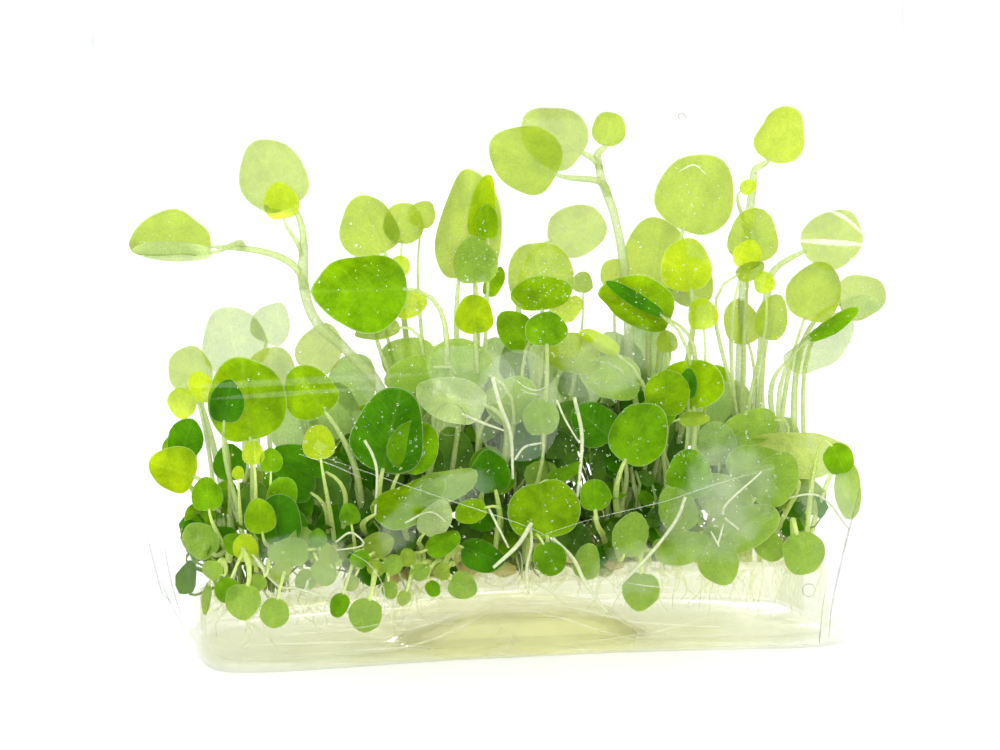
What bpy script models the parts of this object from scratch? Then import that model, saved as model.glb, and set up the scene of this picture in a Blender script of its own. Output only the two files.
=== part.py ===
"""Cardinal flower plantlets raised in vitro: a bed of clear nutrient gel in the foot of a clear film bag,
with five crowns of dense growth on the gel, tall shoots above them, and round leaves on long stalks.

The frame is the bag's own: X along its width, Y from its front to its back, Z up from the surface it stands
on, with the origin under the middle of its foot. Sizes below are in millimetres unless a comment says so."""

import math
from collections import namedtuple

import bmesh
import bpy
from mathutils import Matrix, Vector
from mathutils.geometry import intersect_line_plane

MM = 0.001

# The bag: a pouch of clear film, wide and boxy at the foot, flat and wider at its cut mouth
BAG_HEIGHT = 104.0
FOOT_HALF_WIDTH, MOUTH_HALF_WIDTH = 46.0, 60.0
FOOT_HALF_DEPTH, MOUTH_HALF_DEPTH = 22.0, 12.5
FLARE_HEIGHT = 22.0  # how fast the foot widens to the mouth's width
FOOT_SQUARENESS, MOUTH_SQUARENESS = 6.0, 2.0  # superellipse exponents: boxy, then an ellipse
FOOT_BOW, BOW_MIDDLE = 6.0, 0.35  # how far the foot's ends are bent forward, and the share that centres it
FILM = 0.35
GAP = 0.3  # left between neighbouring pieces
BAG_LEVELS = (0.0, 5.0, 14.0, 28.0, 48.0, 74.0, BAG_HEIGHT)
BAG_SIDES = 28

# The tuck in the bag's underside: a hollow in the middle of the foot, where the bottom seam folds up
TUCK_RISE, TUCK_HALF_LENGTH, TUCK_HALF_DEPTH = 3.6, 17.0, 11.8
TUCK_STEEPNESS = 2.2  # over 1 makes its long sides steep and its top level
FOOT_RINGS = (0.64, 0.5, 0.36, 0.18)  # rings of the foot, as shares of its outline: flat at the first

# The gel: a slab that has drawn away from the film at the front and back, and is thicker at the right
GEL_TOP, GEL_SLOPE = 9.4, 0.045  # height at the middle, and rise for each millimetre along X
GEL_INSET_SIDES, GEL_INSET_FRONT = 1.6, 5.2
GEL_EDGE = 1.4  # the rounding of its upper edge

# The crowns: dense growth on the gel, in a row along the bag
CROWN_SPACING, CROWN_HALF_WIDTH, CROWN_HALF_DEPTH = 18.4, 8.9, 9.3
CROWN_TOPS = (25.0, 31.0, 35.0, 35.0, 29.0)
CROWN_SEGMENTS, CROWN_RINGS = 14, 8
CROWN_LUMPS = 0.11  # how far its surface swells and dips, as a share of its size
CROWN_FULLNESS = 3.0  # superellipse exponent of its profile: over 2 fills out the shoulders
CROWN_SUNK = 0.45  # how far below its widest part its foot lies, as a share of its upper half's height

# The viewpoint from which the plants are laid out: how far it stands round from the bag's front towards its
# left end and above level, its distance, and the height that it looks at
VIEW_TURN, VIEW_RISE = math.radians(13.0), math.radians(6.0)
VIEW_DISTANCE, VIEW_HEIGHT = 420.0, 37.0

# Leaves and shoots
BLADE_THICKNESS = 0.5
STALK_RADIUS = 0.55
STALK_STEPS = (0.0, 0.3, 0.62, 0.9)
BLADE_STEPS = (0.07, 0.2, 0.38, 0.56, 0.74, 0.88, 0.965)
WIDEST_AT = 0.82  # under 1 puts the blade's widest part nearer its stalk
CUP_ARCH = 0.3  # how far a cupped blade's ends drop back, as a share of how far its margins rise
HEXAGON = math.sqrt(0.75)  # a hexagon's half thickness for each unit of its half width
SHOOT_SIDES, SHOOT_STEPS = 6, 3

COLOURS = {  # linear RGB, roughness
    "film": ((0.86, 0.89, 0.9), 0.12),
    "gel": ((0.86, 0.86, 0.66), 0.1),
    "growth": ((0.07, 0.19, 0.03), 0.6),
    "stalk": ((0.55, 0.72, 0.3), 0.45),
    "vivid": ((0.26, 0.5, 0.01), 0.4),
    "pale": ((0.5, 0.68, 0.16), 0.4),
    "deep": ((0.08, 0.26, 0.02), 0.4),
}

# A point here is (across, up, back): across and up as seen from the viewpoint, in millimetres at the bag's
# middle, and back from the bag's middle plane. A leaf's heading is the way that its tip points, in degrees: 0
# to the right, 90 up. Pitch leans the tip forward, roll turns the blade about its midrib, and cup raises its
# margins. Its root is where its stalk starts, in its home.
Leaf = namedtuple("Leaf", "name colour centre length width heading pitch roll cup root home")
LEAVES = [
    # The shoot at the far left and the leaves round it
    Leaf("leaf_01", "pale", (-48.1, 55.6, -1.5), 11.6, 9.0, 178, 4, 50, 0.5, (-30.4, 48.9, -3.2), "shoot_1"),
    Leaf("leaf_02", "pale", (-33.3, 65.6, -2.5), 10.4, 9.4, 124, 2, 12, 0.3, (-28.9, 56.3, -3.0), "shoot_1"),
    Leaf("leaf_03", "pale", (-39.0, 42.0, 5.0), 9.6, 9.4, 100, 0, 8, 0.25, (-37.5, 16.7, 3), "crown_1"),
    Leaf("leaf_04", "pale", (-45.0, 37.8, 2.0), 7.0, 6.4, 105, 0, -8, 0.2, (-40.5, 14.7, 2), "crown_1"),
    Leaf("leaf_05", "vivid", (-37.3, 33.6, -11.0), 11.6, 10.8, 96, -4, 6, 0.35, (-36.5, 15.7, -4), "crown_1"),
    Leaf("leaf_06", "vivid", (-28.3, 34.6, -12.5), 7.6, 7.4, 128, 0, -6, 0.3, (-20.5, 20.7, -4), "crown_2"),
    Leaf("leaf_07", "vivid", (-47.9, 23.4, -4.0), 6.6, 6.6, 160, 6, 22, 0.5, (-41.0, 14.7, -3), "crown_1"),
    Leaf("leaf_08", "deep", (-33.0, 16.1, -13.6), 7.2, 6.6, 84, 4, 8, 0.3, (-33.5, 12.7, -5), "crown_1"),
    Leaf("leaf_09", "deep", (-44.1, 13.1, -7.0), 5.5, 4.7, 132, 0, 10, 0.2, (-39.0, 11.7, -4), "crown_1"),
    Leaf("leaf_10", "vivid", (-38.1, 4.1, -20.2), 4.9, 4.8, 252, 0, 0, 0.15, (-40.0, 13, -7), "crown_1"),
    Leaf("leaf_11", "vivid", (-20.4, 2.1, -19.8), 4.7, 4.6, 254, 0, 0, 0.15, (-18.5, 14, -8), "crown_2"),
    # Over the second crown
    Leaf("leaf_12", "deep", (-16.6, 29.0, -13.2), 12.0, 10.2, 78, 2, -8, 0.35, (-18.0, 17.7, -4), "crown_2"),
    Leaf("leaf_13", "deep", (-14.2, 19.3, -15.6), 11.0, 7.6, 28, 0, 34, 0.4, (-19.0, 15.7, -4), "crown_2"),
    Leaf("leaf_14", "pale", (-19.4, 58.4, 2.0), 8.8, 8.6, 118, 0, -10, 0.3, (-14.5, 22.7, 2), "crown_2"),
    Leaf("leaf_15", "vivid", (-20.6, 49.1, -9.5), 12.4, 11.0, 182, 2, -8, 0.35, (-12.5, 24, -7), "crown_2"),
    Leaf("leaf_16", "deep", (-13.6, 38.7, -3.5), 9.0, 7.4, 152, 0, 14, 0.35, (-15.5, 23, -1), "crown_2"),
    # Over the middle crown
    Leaf("leaf_17", "pale", (-7.9, 33.8, -13.2), 9.8, 6.8, 166, 2, -14, 0.2, (-3.5, 22.7, -5), "crown_3"),
    Leaf("leaf_18", "pale", (-5.7, 58.4, -5.0), 15.4, 9.6, 82, 0, 16, 0.5, (-6.0, 22.7, 1), "crown_3"),
    Leaf("leaf_19", "vivid", (-4.7, 45.7, -11.5), 5.5, 5.4, 94, 0, 0, 0.2, (-4.0, 23.7, -2), "crown_3"),
    Leaf("leaf_20", "vivid", (5.7, 43.7, -13.4), 5.0, 5.9, 92, 10, 0, 0.35, (4.5, 22.7, -4), "crown_3"),
    Leaf("leaf_21", "deep", (4.6, 51.3, -9.0), 9.8, 9.4, 96, -6, 6, 0.4, (1.0, 22.7, -1), "crown_3"),
    Leaf("leaf_22", "vivid", (5.3, 17.8, -15.6), 8.6, 10.2, 98, 0, 4, 0.25, (3.0, 12.7, -5), "crown_3"),
    Leaf("leaf_23", "vivid", (-6.3, 6.4, -18.0), 4.0, 3.9, 330, 0, 0, 0.15, (-5.5, 15, -7), "crown_3"),
    Leaf("leaf_24", "deep", (-2.3, 23.1, -12.6), 6.0, 5.6, 104, 0, -10, 0.3, (-1.0, 16.7, -5), "crown_3"),
    # Over the fourth crown, with the tall shoot
    Leaf("leaf_25", "vivid", (12.7, 19.7, -15.4), 4.5, 4.4, 92, 0, 0, 0.15, (14.5, 13.7, -5), "crown_4"),
    Leaf("leaf_26", "vivid", (19.0, 28.7, -14.2), 9.2, 8.2, 64, 0, 6, 0.3, (16.5, 17.7, -4), "crown_4"),
    Leaf("leaf_27", "vivid", (26.2, 22.7, -15.0), 7.0, 6.7, 82, 0, -8, 0.25, (23.5, 14.7, -5), "crown_4"),
    Leaf("leaf_28", "deep", (19.3, 5.6, -18.2), 5.4, 5.3, 268, 0, 0, 0.2, (19.0, 15, -7), "crown_4"),
    Leaf("leaf_29", "vivid", (26.2, 35.7, -12.0), 7.2, 9.6, 100, 0, -6, 0.3, (24.0, 22.7, -4), "crown_4"),
    Leaf("leaf_30", "vivid", (9.4, 39.7, -9.5), 8.0, 6.6, 172, 0, 34, 0.3, (17.0, 23.7, -3), "crown_4"),
    Leaf("leaf_31", "deep", (18.5, 46.9, -10.0), 10.8, 8.2, 158, 4, 30, 0.5, (19.5, 23.7, -2), "crown_4"),
    Leaf("leaf_32", "vivid", (25.6, 52.8, -8.0), 7.6, 7.4, 102, 0, 6, 0.25, (23.5, 23.7, -1), "crown_4"),
    Leaf("leaf_33", "pale", (21.3, 54.0, 2.5), 11.6, 9.4, 84, 0, -8, 0.3, (20.5, 23.7, 3), "crown_4"),
    Leaf("leaf_34", "pale", (10.1, 57.8, 4.0), 8.8, 7.6, 22, 0, 6, 0.3, (4.5, 23.7, 4), "crown_3"),
    Leaf("leaf_35", "pale", (2.6, 68.0, -2.5), 10.4, 9.6, 152, 0, 6, 0.3, (13.4, 62.0, -1.2), "shoot_2"),
    Leaf("leaf_36", "pale", (6.7, 71.1, 1.5), 9.8, 8.8, 150, 0, -6, 0.3, (11.6, 65.9, 1.6), "shoot_2"),
    Leaf("leaf_37", "pale", (14.6, 72.1, -1.0), 5.0, 4.9, 78, 0, 0, 0.25, (12.9, 69.0, 0.0), "shoot_2"),
    Leaf("leaf_38", "pale", (26.9, 63.1, -2.0), 11.6, 11.4, 72, 0, -6, 0.3, (21.5, 23.7, 0.5), "crown_4"),
    # Over the last crown, with the shoots at the right
    Leaf("leaf_39", "vivid", (38.9, 71.3, 0.0), 8.4, 7.4, 66, 0, 12, 0.3, (35.6, 66.6, 0.5), "shoot_3"),
    Leaf("leaf_40", "pale", (46.4, 56.8, -0.5), 9.4, 8.6, 28, 0, 10, 0.3, (37.9, 50.3, -2.0), "shoot_4"),
    Leaf("leaf_41", "pale", (50.7, 48.3, 0.5), 7.2, 6.8, 18, 0, -14, 0.25, (41.5, 18.7, 2), "crown_5"),
    Leaf("leaf_42", "pale", (44.6, 42.1, -6.5), 11.8, 8.0, 36, 0, 40, 0.5, (40.5, 18.7, 0), "crown_5"),
    Leaf("leaf_43", "deep", (42.2, 26.3, -8.5), 14.4, 8.4, 356, 0, 30, 0.45, (35.0, 18, -5), "crown_5"),
    Leaf("leaf_44", "vivid", (38.4, 22.1, -14.0), 8.4, 7.0, 48, 0, 10, 0.3, (34.0, 14, -7), "crown_5"),
    Leaf("leaf_45", "vivid", (42.7, 11.1, -20.0), 6.2, 6.1, 286, 0, -8, 0.2, (41.5, 16, -8), "crown_5"),
    Leaf("leaf_46", "deep", (33.6, 15.0, -17.6), 12.0, 6.6, 24, 0, 14, 0.3, (31.5, 16, -7), "crown_5"),
    # At the back
    Leaf("leaf_47", "vivid", (-24.0, 31.7, 12.0), 10.0, 9.0, 100, -8, 4, 0.3, (-20.0, 18.7, 4), "crown_2"),
    Leaf("leaf_48", "vivid", (29.0, 33.7, 11.5), 10.0, 9.2, 80, -8, -4, 0.3, (24.0, 18.7, 4), "crown_4"),
]
# A shoot has a radius at its foot and at its tip, the crown that it grows from, and points along its middle.
Shoot = namedtuple("Shoot", "name foot_radius tip_radius home points")
SHOOTS = [
    Shoot("shoot_1", 1.0, 0.7, "crown_2", [
        (-15.5, 18.7, 0.5), (-17.5, 33.7, -1), (-23, 40.7, -2.4),
        (-27.2, 44.7, -3), (-28.9, 49.7, -3.2), (-28.9, 55.7, -3),
    ]),
    Shoot("shoot_2", 1.0, 0.6, "crown_4", [
        (17.2, 19.7, 1.5), (17.6, 37.7, 1), (17, 50.7, -0.5),
        (15.4, 59.7, -0.8), (13.6, 64.7, -0.2), (12.9, 68.3, 0),
    ]),
    Shoot("shoot_3", 1.0, 0.6, "crown_5", [
        (33.5, 15.7, 3), (33.4, 35.7, 3), (34, 53.7, 2), (34.6, 59.7, 1.2), (35.2, 65.9, 0.6),
    ]),
    Shoot("shoot_4", 0.9, 0.7, "crown_5", [
        (37.5, 15.7, 0.5), (36.4, 31.7, 0.5), (36.6, 42.7, 0), (37.4, 49.7, -1),
    ]),
]


def clear_scene():
    for old in list(bpy.data.objects):
        bpy.data.objects.remove(old)


def finish_for(name):
    """The plain material for one of the finishes in COLOURS, made once."""
    material = bpy.data.materials.get(name)
    if material is None:
        colour, roughness = COLOURS[name]
        material = bpy.data.materials.new(name)
        material.use_nodes = True
        shader = material.node_tree.nodes["Principled BSDF"]
        shader.inputs["Base Color"].default_value = (*colour, 1)
        shader.inputs["Roughness"].default_value = roughness
        shader.inputs["Metallic"].default_value = 0
        material.diffuse_color = (*colour, 1)
    return material


def object_from(name, finish, mesh_builder, origin=(0, 0, 0)):
    """A named object whose mesh is what mesh_builder, a bmesh with its faces made, holds, and its origin."""
    bmesh.ops.recalc_face_normals(mesh_builder, faces=mesh_builder.faces)
    bmesh.ops.translate(mesh_builder, verts=mesh_builder.verts, vec=-Vector(origin))
    mesh = bpy.data.meshes.new(name)
    mesh_builder.to_mesh(mesh)
    mesh_builder.free()
    made = bpy.data.objects.new(name, mesh)
    made.location = origin
    made.data.materials.append(finish_for(finish))
    bpy.context.scene.collection.objects.link(made)
    return made


def carry(carrier, piece):
    """Makes the carrier take the piece with it, and leaves the piece where it is."""
    bpy.context.view_layer.update()
    piece.parent = carrier
    piece.matrix_parent_inverse = carrier.matrix_world.inverted()


def skin(rings, first_cap, last_cap):
    """A closed bmesh over rings of points with the same count. A cap is "flat", or the point it rises to.

    Each four-sided gap is split along its shorter diagonal, so two rings that lie alike are skinned alike."""
    built = bmesh.new()
    loops = [[built.verts.new(point) for point in ring] for ring in rings]
    for lower, upper in zip(loops, loops[1:]):
        for i in range(len(lower)):
            k = (i + 1) % len(lower)
            if (lower[i].co - upper[k].co).length < (lower[k].co - upper[i].co).length:
                halves = ((lower[i], lower[k], upper[k]), (lower[i], upper[k], upper[i]))
            else:
                halves = ((lower[i], lower[k], upper[i]), (lower[k], upper[k], upper[i]))
            for half in halves:
                built.faces.new(half)
    for loop, cap in ((loops[0], first_cap), (loops[-1], last_cap)):
        if cap == "flat":
            built.faces.new(loop)
        else:
            peak = built.verts.new(cap)
            for i in range(len(loop)):
                built.faces.new((loop[i], loop[(i + 1) % len(loop)], peak))
    return built


def blend(low, high, share):
    return low + (high - low) * share


def eased(share):
    """0 to 1 with a level start and end."""
    share = min(max(share, 0.0), 1.0)
    return share * share * (3 - 2 * share)


def bag_half_width(height):
    spread = 1 - math.exp(-height / FLARE_HEIGHT)
    return blend(FOOT_HALF_WIDTH, MOUTH_HALF_WIDTH, spread)


def bag_half_depth(height):
    return blend(FOOT_HALF_DEPTH, MOUTH_HALF_DEPTH, eased(height / BAG_HEIGHT))


def bag_squareness(height):
    return blend(FOOT_SQUARENESS, MOUTH_SQUARENESS, eased(height / BAG_HEIGHT))


def outline(half_width, half_depth, squareness, bow, share=1.0):
    """Points round a superellipse, as (x, y), with its ends bent forward, and shrunk to a share of it."""
    points = []
    for i in range(BAG_SIDES):
        turn = 2 * math.pi * (i + 0.5) / BAG_SIDES
        c, s = math.cos(turn), math.sin(turn)
        along = math.copysign(abs(c) ** (2 / squareness), c)
        over = math.copysign(abs(s) ** (2 / squareness), s)
        bent = bow * ((along * share) ** 2 - BOW_MIDDLE)
        points.append((half_width * along * share, half_depth * over * share - bent))
    return points


def tuck(x, y):
    """How far the bag's underside stands above the surface at (x, y)."""
    along = 1 - (x / TUCK_HALF_LENGTH) ** 2
    over = 1 - (y / TUCK_HALF_DEPTH) ** 2
    if along <= 0 or over <= 0:
        return 0.0
    return TUCK_RISE * math.sqrt(along) * min(1.0, TUCK_STEEPNESS * over)


def bag_bow(height):
    return blend(FOOT_BOW, 0, eased(2 * height / BAG_HEIGHT))


def bag_ring(height, inset):
    half_width, half_depth = bag_half_width(height) - inset, bag_half_depth(height) - inset
    ring = outline(half_width, half_depth, bag_squareness(height), bag_bow(height))
    return [Vector((x, y, height)) * MM for x, y in ring]


def foot_ring(share, inset, lift):
    """A ring of the foot's underside, or of its upper face when lifted by the film's thickness."""
    ring = outline(FOOT_HALF_WIDTH - inset, FOOT_HALF_DEPTH - inset, FOOT_SQUARENESS, FOOT_BOW, share)
    return [Vector((x, y, tuck(x, y) + lift)) * MM for x, y in ring]


def make_bag():
    """From the middle of the underside out, up the outside, over the mouth's edge and down the inside."""
    under = [foot_ring(share, 0, 0) for share in reversed(FOOT_RINGS)]
    outside = [bag_ring(level, 0) for level in BAG_LEVELS]
    inside = [bag_ring(max(level, FILM), FILM) for level in reversed(BAG_LEVELS)]
    floor = [foot_ring(share, FILM, FILM) for share in FOOT_RINGS]
    middle = tuck(0, 0)
    rings = under + outside + inside + floor
    built = skin(rings, Vector((0, 0, middle)) * MM, Vector((0, 0, middle + FILM)) * MM)
    bag = object_from("bag", "film", built)
    bag.data.shade_smooth()
    bag.data.set_sharp_from_angle(angle=math.radians(50))
    return bag


def gel_top(x):
    return GEL_TOP + GEL_SLOPE * x


def gel_ring(pulled_in, height_at):
    half_width = FOOT_HALF_WIDTH - GEL_INSET_SIDES - pulled_in
    half_depth = FOOT_HALF_DEPTH - GEL_INSET_FRONT - pulled_in
    ring = outline(half_width, half_depth, FOOT_SQUARENESS, FOOT_BOW)
    return [Vector((x, y, height_at(x))) * MM for x, y in ring]


def make_gel():
    """From its upper face down its side and over its underside, which lies on the bag's floor."""
    lift = FILM + GAP
    rings = [
        gel_ring(GEL_EDGE, gel_top),
        gel_ring(0, lambda x: gel_top(x) - GEL_EDGE),
        gel_ring(0, lambda x: lift + GEL_EDGE / 2),
        gel_ring(GEL_EDGE / 2, lambda x: lift),
    ]
    rings.extend(foot_ring(share, FILM, lift) for share in FOOT_RINGS)
    built = skin(rings, "flat", Vector((0, 0, TUCK_RISE + lift)) * MM)
    gel = object_from("gel", "gel", built)
    gel.data.shade_smooth()
    gel.data.set_sharp_from_angle(angle=math.radians(40))
    return gel


def crown_across(number):
    return CROWN_SPACING * (number - len(CROWN_TOPS) // 2)


def crown_mesh(number, grown):
    """The lumpy dome of one crown. grown widens it all round, for the tool that trims what roots in it."""
    across = crown_across(number)
    built = bmesh.new()
    bmesh.ops.create_uvsphere(built, u_segments=CROWN_SEGMENTS, v_segments=CROWN_RINGS, radius=1.0)
    top = CROWN_TOPS[number]
    foot = gel_top(across) + GAP
    for vert in built.verts:
        x, y, z = vert.co
        round_reach = math.sqrt(max(1 - z * z, 0))
        full_reach = (1 - abs(z) ** CROWN_FULLNESS) ** (1 / CROWN_FULLNESS)
        if round_reach > 0:
            x, y = x * full_reach / round_reach, y * full_reach / round_reach
        lump = 1 + CROWN_LUMPS * math.sin(3 * x + 2.1 * number) * math.cos(2.6 * y + 3 * z + number)
        place_x = across + x * min(lump, 1.0) * (CROWN_HALF_WIDTH + grown)
        place_y = y * lump * (CROWN_HALF_DEPTH + grown)
        height = foot + (z + CROWN_SUNK) / (1 + CROWN_SUNK) * lump * (top - foot + grown)
        vert.co = Vector((place_x, place_y, max(height, gel_top(place_x) + GAP - grown))) * MM
    return built


def make_crown(number):
    across = crown_across(number)
    foot = Vector((across, 0, gel_top(across))) * MM
    crown = object_from(f"crown_{number + 1}", "growth", crown_mesh(number, 0), foot)
    crown.data.shade_smooth()
    return crown


def make_trimmer(number):
    """A crown grown by the gap, which cuts the stalks and shoots that start inside it."""
    trimmer = object_from(f"trim_{number + 1}", "growth", crown_mesh(number, GAP))
    trimmer.hide_render = True
    trimmer.display_type = "WIRE"
    return trimmer


def facing_axes():
    """Across, up and level towards the viewpoint, as unit vectors of the bag's frame."""
    across = Vector((math.cos(VIEW_TURN), -math.sin(VIEW_TURN), 0))
    forward = Vector((-math.sin(VIEW_TURN), -math.cos(VIEW_TURN), 0))
    return across, Vector((0, 0, 1)), forward


def place(point):
    """Where the line of sight through (across, up) meets the upright plane that lies `back` in the bag."""
    across, up, back = point
    right, upwards, forward = facing_axes()
    reach = forward * math.cos(VIEW_RISE) + upwards * math.sin(VIEW_RISE)
    eye = upwards * VIEW_HEIGHT + reach * VIEW_DISTANCE
    seen = right * across + upwards * up
    return intersect_line_plane(eye, seen, Vector((0, back, 0)), Vector((0, 1, 0))) * MM


def blade_axes(leaf):
    """The leaf's own axes: along its midrib, across it, and out of its upper face."""
    across, up, forward = facing_axes()
    heading, pitch = math.radians(leaf.heading), math.radians(leaf.pitch)
    level = across * math.cos(heading) + up * math.sin(heading)
    along = level * math.cos(pitch) + forward * math.sin(pitch)
    normal = (forward - along * forward.dot(along)).normalized()
    normal = Matrix.Rotation(math.radians(leaf.roll), 3, along) @ normal
    return along, along.cross(normal), normal


def smooth_path(points, steps):
    """Points on a Catmull-Rom curve through the given points, with so many steps between each two."""
    ends = [points[0] * 2 - points[1], *points, points[-1] * 2 - points[-2]]
    path = []
    for before, start, end, after in zip(ends, ends[1:], ends[2:], ends[3:]):
        for i in range(steps):
            t = i / steps
            path.append(
                0.5 * (2 * start + (end - before) * t + (2 * before - 5 * start + 4 * end - after) * t**2
                       + (3 * start - before - 3 * end + after) * t**3)
            )
    return [*path, points[-1]]


def carried_frames(path, normal):
    """(tangent, side, normal) at each point of a path, the last one's normal carried back without a twist."""
    tangents = []
    for i in range(len(path)):
        tangents.append((path[min(i + 1, len(path) - 1)] - path[max(i - 1, 0)]).normalized())
    frames = []
    for tangent in reversed(tangents):
        normal = (normal - tangent * normal.dot(tangent)).normalized()
        frames.append((tangent, tangent.cross(normal), normal))
    return frames[::-1]


def lens_ring(centre, side, normal, half_width, half_thickness, cup=0.0):
    """Six points round a section: an edge at each side, two above and two below. cup lifts the edges."""
    ring = []
    for share, face in ((1, 0), (0.5, 1), (-0.5, 1), (-1, 0), (-0.5, -1), (0.5, -1)):
        rise = face * half_thickness + cup * half_width * share * share
        ring.append(centre + side * (half_width * share) + normal * rise)
    return ring


def stalk_path(root, base, along):
    """From the root to the base of the blade: it leaves upwards and comes in along the midrib."""
    reach = (base - root).length
    start, end = root + Vector((0, 0, 1)) * reach * 0.4, base - along * reach * 0.3
    path = []
    for t in STALK_STEPS:
        u = 1 - t
        path.append(root * u**3 + start * 3 * u * u * t + end * 3 * u * t * t + base * t**3)
    return path


def make_leaf(leaf):
    """A blade and its stalk, as one skin over rings that run from the root to the tip."""
    along, side, normal = blade_axes(leaf)
    length, half = leaf.length * MM, leaf.width * MM / 2
    radius, half_thickness = STALK_RADIUS * MM, BLADE_THICKNESS * MM / 2
    root, base = place(leaf.root), place(leaf.centre) - along * length / 2
    path = stalk_path(root, base, along)
    rings = []
    for centre, (_, across, out) in zip(path, carried_frames([*path, base], normal)):
        rings.append(lens_ring(centre, across, out, radius, radius * HEXAGON))
    drop = normal * leaf.cup * CUP_ARCH * half
    for step in BLADE_STEPS:
        wide = max(half * math.sqrt(1 - (2 * step**WIDEST_AT - 1) ** 2), radius)
        centre = base + along * length * step - drop * (2 * step - 1) ** 2
        rings.append(lens_ring(centre, side, normal, wide, half_thickness, leaf.cup))
    tip = base + along * length - drop
    made = object_from(leaf.name, leaf.colour, skin(rings, "flat", tip), root)
    made.data.shade_smooth()
    made.data.set_sharp_from_angle(angle=math.radians(70))
    return made


def make_shoot(shoot):
    path = smooth_path([place(point) for point in shoot.points], SHOOT_STEPS)
    turns = [2 * math.pi * k / SHOOT_SIDES for k in range(SHOOT_SIDES)]
    frames = carried_frames(path, facing_axes()[2])
    rings = []
    for i, (centre, (_, side, normal)) in enumerate(zip(path, frames)):
        radius = blend(shoot.foot_radius, shoot.tip_radius, i / (len(path) - 1)) * MM
        rings.append([centre + (side * math.cos(a) + normal * math.sin(a)) * radius for a in turns])
    made = object_from(shoot.name, "stalk", skin(rings, "flat", "flat"), path[0])
    made.data.shade_smooth()
    return made


def trim(piece, trimmer):
    """Cuts off what of the piece lies inside the trimmer."""
    cut = piece.modifiers.new("Trim", "BOOLEAN")
    cut.operation = "DIFFERENCE"
    cut.solver = "EXACT"
    cut.object = trimmer


def main():
    clear_scene()
    make_bag()
    make_gel()
    homes, trimmers = {}, {}
    for number in range(len(CROWN_TOPS)):
        crown = make_crown(number)
        homes[crown.name] = crown
        trimmers[crown.name] = make_trimmer(number)
    for shoot in SHOOTS:
        homes[shoot.name] = make_shoot(shoot)
        trim(homes[shoot.name], trimmers[shoot.home])
        carry(homes[shoot.home], homes[shoot.name])
    for leaf in LEAVES:
        made = make_leaf(leaf)
        if leaf.home in trimmers:
            trim(made, trimmers[leaf.home])
        carry(homes[leaf.home], made)


main()
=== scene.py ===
"""Dresses the cardinal flower in its culture bag: clear film, nutrient gel, and the plantlets rooted in it.

The frame is the bag's own: X along its width, Y from its front to its back, Z up from the surface that it
stands on. Sizes are in millimetres, and become metres where a point is placed."""

import math
import random
from collections import namedtuple

import bmesh
import bpy
import numpy as np
from bpy.props import FloatProperty, FloatVectorProperty, IntProperty, PointerProperty
from mathutils import Matrix, Vector, noise
from mathutils.bvhtree import BVHTree


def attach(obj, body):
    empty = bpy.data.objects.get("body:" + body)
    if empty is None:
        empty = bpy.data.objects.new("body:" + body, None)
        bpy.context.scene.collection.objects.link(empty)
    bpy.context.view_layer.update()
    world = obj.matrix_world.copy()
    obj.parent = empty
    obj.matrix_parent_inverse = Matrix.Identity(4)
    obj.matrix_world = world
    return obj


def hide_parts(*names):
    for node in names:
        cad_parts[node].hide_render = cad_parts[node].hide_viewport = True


bl_info = {
    "name": "Cardinal Flower in a Culture Bag",
    "version": (1, 0, 0),
    "blender": (4, 5, 0),
    "location": "3D View > Sidebar > Culture Bag",
    "description": "Builds the bag, the gel and the plantlets of a cardinal flower raised in culture",
    "category": "Add Mesh",
}

MM = 0.001
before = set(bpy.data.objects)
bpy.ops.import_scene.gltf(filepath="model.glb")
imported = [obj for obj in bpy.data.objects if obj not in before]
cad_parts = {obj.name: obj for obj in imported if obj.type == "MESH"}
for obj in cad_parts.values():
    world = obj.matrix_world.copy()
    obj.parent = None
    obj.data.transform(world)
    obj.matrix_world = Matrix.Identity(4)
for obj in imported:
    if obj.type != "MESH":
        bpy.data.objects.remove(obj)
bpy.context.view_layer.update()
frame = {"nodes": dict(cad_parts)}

# The viewpoint that the plants are laid out from: its turn towards the left end, its rise, distance and
# height, and the spot that the camera looks at, as x and y
VIEW_TURN, VIEW_RISE = math.radians(13.0), math.radians(6.0)
VIEW_DISTANCE, VIEW_HEIGHT = 420.0, 37.0
TARGET_X, TARGET_Y = -0.88, 0.2
LENS, SENSOR = 105.7, 36.0

# The bag's form, as its solid has it
BAG_HEIGHT = 104.0
FOOT_HALF_WIDTH, MOUTH_HALF_WIDTH = 46.0, 60.0
FOOT_HALF_DEPTH, MOUTH_HALF_DEPTH = 22.0, 12.5
FLARE_HEIGHT = 22.0
FOOT_SQUARENESS, MOUTH_SQUARENESS = 6.0, 2.0
FOOT_BOW, BOW_MIDDLE = 6.0, 0.35
TUCK_RISE, TUCK_HALF_LENGTH, TUCK_HALF_DEPTH, TUCK_STEEPNESS = 3.6, 17.0, 11.8, 2.2
FILM_INSIDE = 0.2  # how far inside the solid's outer face the film lies
FILM_SIDES, FILM_LEVELS, FOOT_LEVELS = 152, 76, 18
LEVEL_SPREAD = 1.25  # above 1, the film's levels lie closer together low down

# What lies on the film, and how far inside it
FOLD_INSIDE, BUBBLE_INSIDE, DROP_INSIDE = 0.05, 0.1, 0.2
FOG_INSIDE, FOG_STEP = 0.3, 0.02  # each fogged patch lies a step further in than the last, so that none meet
BUBBLE_RIM = 0.07

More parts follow.
